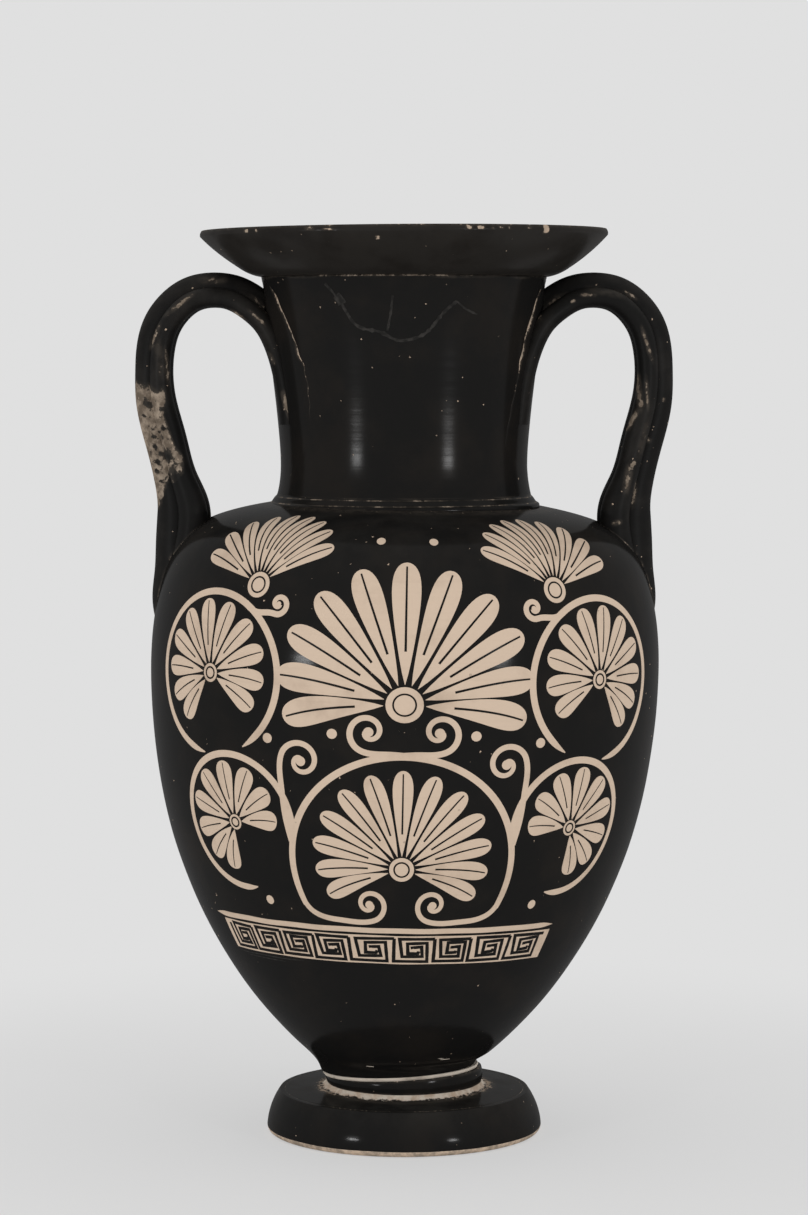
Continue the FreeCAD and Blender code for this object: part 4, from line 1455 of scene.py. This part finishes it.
def key_lines(corners, units_deg):
    """Corners in shares of a unit, placed in every unit at once, and wandering a little."""
    left, width = units_deg[:-1, None], np.diff(units_deg)[:, None]
    sideways = np.radians(left + width * corners[:, 0]) * meander_girth
    climb = key_bottom + key_rise * corners[:, 1] + 0 * sideways
    flat = np.stack([sideways, climb], -1)
    wander = [ripple(flat[..., 0], flat[..., 1] * 7, seed, 10, 3) for seed in (81, 82)]
    return legs_of(flat + 0.22 * np.stack(wander, -1))


def brush(lines, half_width, seed):
    """The width of a stroke swells and thins a little along it."""
    return half_width * (1 + 0.10 * ripple(lines[..., 0] * 0.8, lines[..., 1] * 9, seed, 10, 3))


def make_meander(prefix, ends_deg, units_deg, wrap):
    """The line and the field of clay, and the two strokes of every unit, one a hair above the other."""
    field_ends_deg = (units_deg[0] + key_margins_deg[0], units_deg[-1] + key_margins_deg[1])
    rows = ((ends_deg, *reserved_line, 5.0), (field_ends_deg, *key_field, 0))
    make_drawing(f"{prefix}meander_band", [slabs(band(*row), band_lift, wrap) for row in rows])
    keys = [key_lines(corners, np.array(units_deg)) for corners in (INNER_KEY, OUTER_KEY)]
    strokes = [slabs(strip(lines, brush(lines, key_half_width, 83 + k)), key_lift + 0.01 * k, wrap, low=0.0)
               for k, lines in enumerate(keys)]
    make_drawing(f"{prefix}meander_key", strokes, black=True)


def faint_strokes(rows, thickness, taper, lift):
    strips = [band(ends, level, level + thickness, taper) for ends, level in rows]
    return joined([slabs(one, lift, on_band()) for one in strips])


make_meander("", *front_band, on_band())
make_piece("dilute_traces", *faint_strokes(DILUTE_TRACES, 0.45, 5.0, 0.03), crack_fill, "black_gloss")
make_piece("stem_scratches", *faint_strokes(STEM_SCRATCHES, 0.35, 2.0, 0.04), slip_clay, "bare_clay")
make_meander("back_", *back_band, on_band(math.pi))

# %% [markdown]
# ## Palmettes and tendrils
# A palmette is a fan of leaves round a small heart. A leaf's middle line starts at the heart and bends
# outwards a little, and its width is widest near the tip. Tendrils run round the fans and curl up into
# volutes, which are spirals whose radius shrinks evenly. The whole is the same on both sides of the middle.

# %% Leaves, rings and volutes
leaf_lift = 0.11
heart_lift = 0.09
rib_lift = 0.16
heart_ring_lift = 0.15


def bearing_of(turn):
    """Unit steps for bearings taken clockwise from straight up: (sin, cos)."""
    return np.stack([np.sin(turn), np.cos(turn)], -1)


def leaf_shares(rows):
    """How far along a leaf each row lies: 1 - (1 - s)^1.8, which crowds the rows at the round tip."""
    return 1 - (1 - np.linspace(0, 1, rows)) ** 1.8


def fan(heart, bearing_deg, reach, spread_deg, count, rows=20):
    """Middle lines of the leaves, each the running sum of short steps whose bearing is that of the leaf plus
    a bend that grows as the square of the way along it. The outer leaves are a little shorter."""
    share = np.linspace(-1, 1, count)
    turn = np.radians(bearing_deg + spread_deg * share)[:, None]
    length = (reach * (0.86 - 0.16 * share**2))[:, None, None]
    t = leaf_shares(rows)
    steps = bearing_of(turn + 0.30 * share[:, None] * t[1:] ** 2) * np.diff(t)[:, None]
    walked = np.concatenate([0 * steps[:, :1], np.cumsum(steps, axis=1)], 1)
    root = np.asarray(heart) + 0.14 * reach * bearing_of(turn[:, 0])
    return root[:, None] + walked * length


def leaf_strips(lines, reach, spread_deg):
    """Half width: t to the 0.8 times the root of 1 - t^6, so a slim stem, a full belly and a round tip."""
    t = leaf_shares(lines.shape[1])
    widest = 0.40 * np.radians(2 * spread_deg) / (len(lines) - 1) * 0.78 * reach
    return strip(lines, widest * t**0.8 * np.sqrt(1 - t**6) / 0.72, 5)


def disc(centre, radius, rows=15):
    """A round: a short upright line whose half width is the radius times the root of 1 - s^2."""
    s = -np.cos(np.pi * np.linspace(0, 1, rows))
    line = np.asarray(centre) + radius * s[:, None] * (0, 1)
    return strip(line, radius * np.sqrt(1 - s**2), 7)


def ring(centre, radius, from_deg, to_deg, rows=110):
    turn = np.radians(np.linspace(from_deg, to_deg, rows))
    return np.asarray(centre) + radius * bearing_of(turn)


def volute(lead, centre, outer, start_deg, hand, turns=1.25):
    """A tendril: a spline through the leading points and then round a shrinking spiral."""
    t = np.linspace(0, 1, 16)[:, None]
    turn = math.radians(start_deg) + hand * 2 * math.pi * turns * t[:, 0]
    spiral = np.asarray(centre) + outer * (1 - 0.85 * t) * bearing_of(turn)
    return smooth_through(np.concatenate([np.asarray(lead, float), spiral]), 110)


def palmette(heart, bearing_deg, reach, spread_deg, count, wrap):
    """Clay leaves and heart, and over them a black rib in each leaf and a black ring round the heart."""
    lines = fan(heart, bearing_deg, reach, spread_deg, count)
    clay = [slabs(leaf_strips(lines, reach, spread_deg), leaf_lift, wrap),
            slabs(disc(heart, 0.125 * reach), heart_lift, wrap)]
    t = np.linspace(0, 1, lines.shape[1] - 6)
    ribs = strip(lines[:, 3:-3], 0.006 * reach + 0.10 * (1 - t))
    heart_ring = strip(ring(heart, 0.075 * reach, 0, 360, 40), 0.30)
    black = [slabs(ribs, rib_lift, wrap, low=0.0), slabs(heart_ring, heart_ring_lift, wrap, low=0.0)]
    return clay, black


print("leaf rows", fan((0, 0), 0, 30, 100, 9).shape)

# %% [markdown]
# ### Laying out the front and the back
# A large arch closes round the lowest fan and a pair of curls, and the large middle fan stands on it. On
# each side stand a fan in a ring, a smaller one below it, and one that opens over the shoulder. Tendrils and
# dots fill what is left. The back has the lowest fan again, alone in its arch over a short band.

# %% Front and back ornament
ornament_girth = 90.0
# Fans: heart, bearing, reach, half spread, leaves. Rings: centre, radius, first and last bearing.
MIDDLE_FANS = (((0.0, 24.0), 0.0, 37.0, 106.0, 13), ((0.0, 84.5), 0.0, 51.0, 93.0, 11))
SIDE_FANS = (
    ((74.0, 92.0), 10.0, 27.0, 126.0, 11), ((66.0, 38.0), 40.0, 23.0, 120.0, 9),
    ((56.0, 125.0), 6.0, 38.0, 60.0, 9),
)
MIDDLE_RING = ((0.0, 24.0), 42.0, -112.0, 112.0)
SIDE_RINGS = (((74.0, 92.0), 29.5, -150.0, 172.0), ((66.0, 38.0), 25.3, -112.0, 192.0))
# Leading points, then centre, radius and first bearing of the volute, and its hand.
TENDRILS = (
    (((40.75, 13.84), (39.7, 10.2), (37.4, 6.6), (32.6, 3.9), (24.0, 2.7)), (12.5, 9.6), 7.0, 180, 1),
    (((0.0, 66.4), (5.0, 66.7)), (12.0, 74.6), 7.6, 180, -1),
    (((41.5, 33.0), (43.2, 43.0), (43.8, 53.0)), (36.0, 63.0), 7.8, 90, -1),
    (((60.0, 117.9), (55.0, 115.2)), (46.0, 118.5), 4.0, 150, 1),
)
DOTS = ((24.5, 73.5), (48.5, 70.5), (10.5, 145.0), (56.0, 8.5))
dot_radius = 1.8
ring_half_width = 1.25
tendril_half_width = 1.1
tendril_lift = 0.08
eye_lift = 0.10
eye_share = 0.23


def mirrored(points):
    """A line or point, and before it its mirror image on the left."""
    return [np.asarray(points) * (side, 1) for side in (-1, 1)]


def ring_strip(lines, end_share):
    """Even, and at both ends the share given: nothing where the brush was lifted off."""
    t = np.linspace(0, 1, np.shape(lines)[-2])
    lifted = np.sqrt(smoothstep(-0.005, 0.05, np.minimum(t, 1 - t)))
    return strip(np.asarray(lines), ring_half_width * (end_share + (1 - end_share) * lifted))


def tendrils(rows, wrap):
    """Even along the stem and a little thinner towards the middle of the volute, where an eye closes it."""
    lines = np.stack([line for row in rows for line in mirrored(volute(*row))])
    half_width = tendril_half_width * (1 - 0.3 * np.linspace(0, 1, lines.shape[1]) ** 3)
    discs = [disc(eye, eye_share * row[2], 11) for row in rows for eye in mirrored(row[1])]
    eyes = [slabs(eye, eye_lift, wrap) for eye in discs]
    return [slabs(strip(lines, half_width), tendril_lift, wrap), *eyes]


def front_ornament(wrap):
    clay, black = [], []
    fans = list(MIDDLE_FANS)
    for heart, bearing, *rest in SIDE_FANS:
        fans += [(point, side * bearing, *rest) for side, point in zip((-1, 1), mirrored(heart))]
    for row in fans:
        leaves, lines = palmette(*row, wrap)
        clay += leaves
        black += lines
    side_rings = [line for row in SIDE_RINGS for line in mirrored(ring(*row))]
    clay.append(slabs(ring_strip(side_rings, 0.0), band_lift, wrap))
    clay.append(slabs(ring_strip(ring(*MIDDLE_RING), 0.9), band_lift, wrap))
    clay += tendrils(TENDRILS, wrap)
    clay += [slabs(disc(dot, dot_radius, 11), band_lift, wrap) for row in DOTS for dot in mirrored(row)]
    return clay, black


def back_ornament(wrap):
    """The front's lowest fan again, alone in its arch."""
    clay, black = palmette(*MIDDLE_FANS[0], wrap)
    clay.append(slabs(ring_strip(ring(*MIDDLE_RING), 0.9), band_lift, wrap))
    return clay + tendrils(TENDRILS[:1], wrap), black


for view, layout, facing in (("front", front_ornament, 0.0), ("back", back_ornament, math.pi)):
    clay, black = layout(partial(on_body, girth=ornament_girth, facing=facing))
    make_drawing(f"{view}_palmettes", clay)
    make_drawing(f"{view}_palmette_ribs", black, black=True)
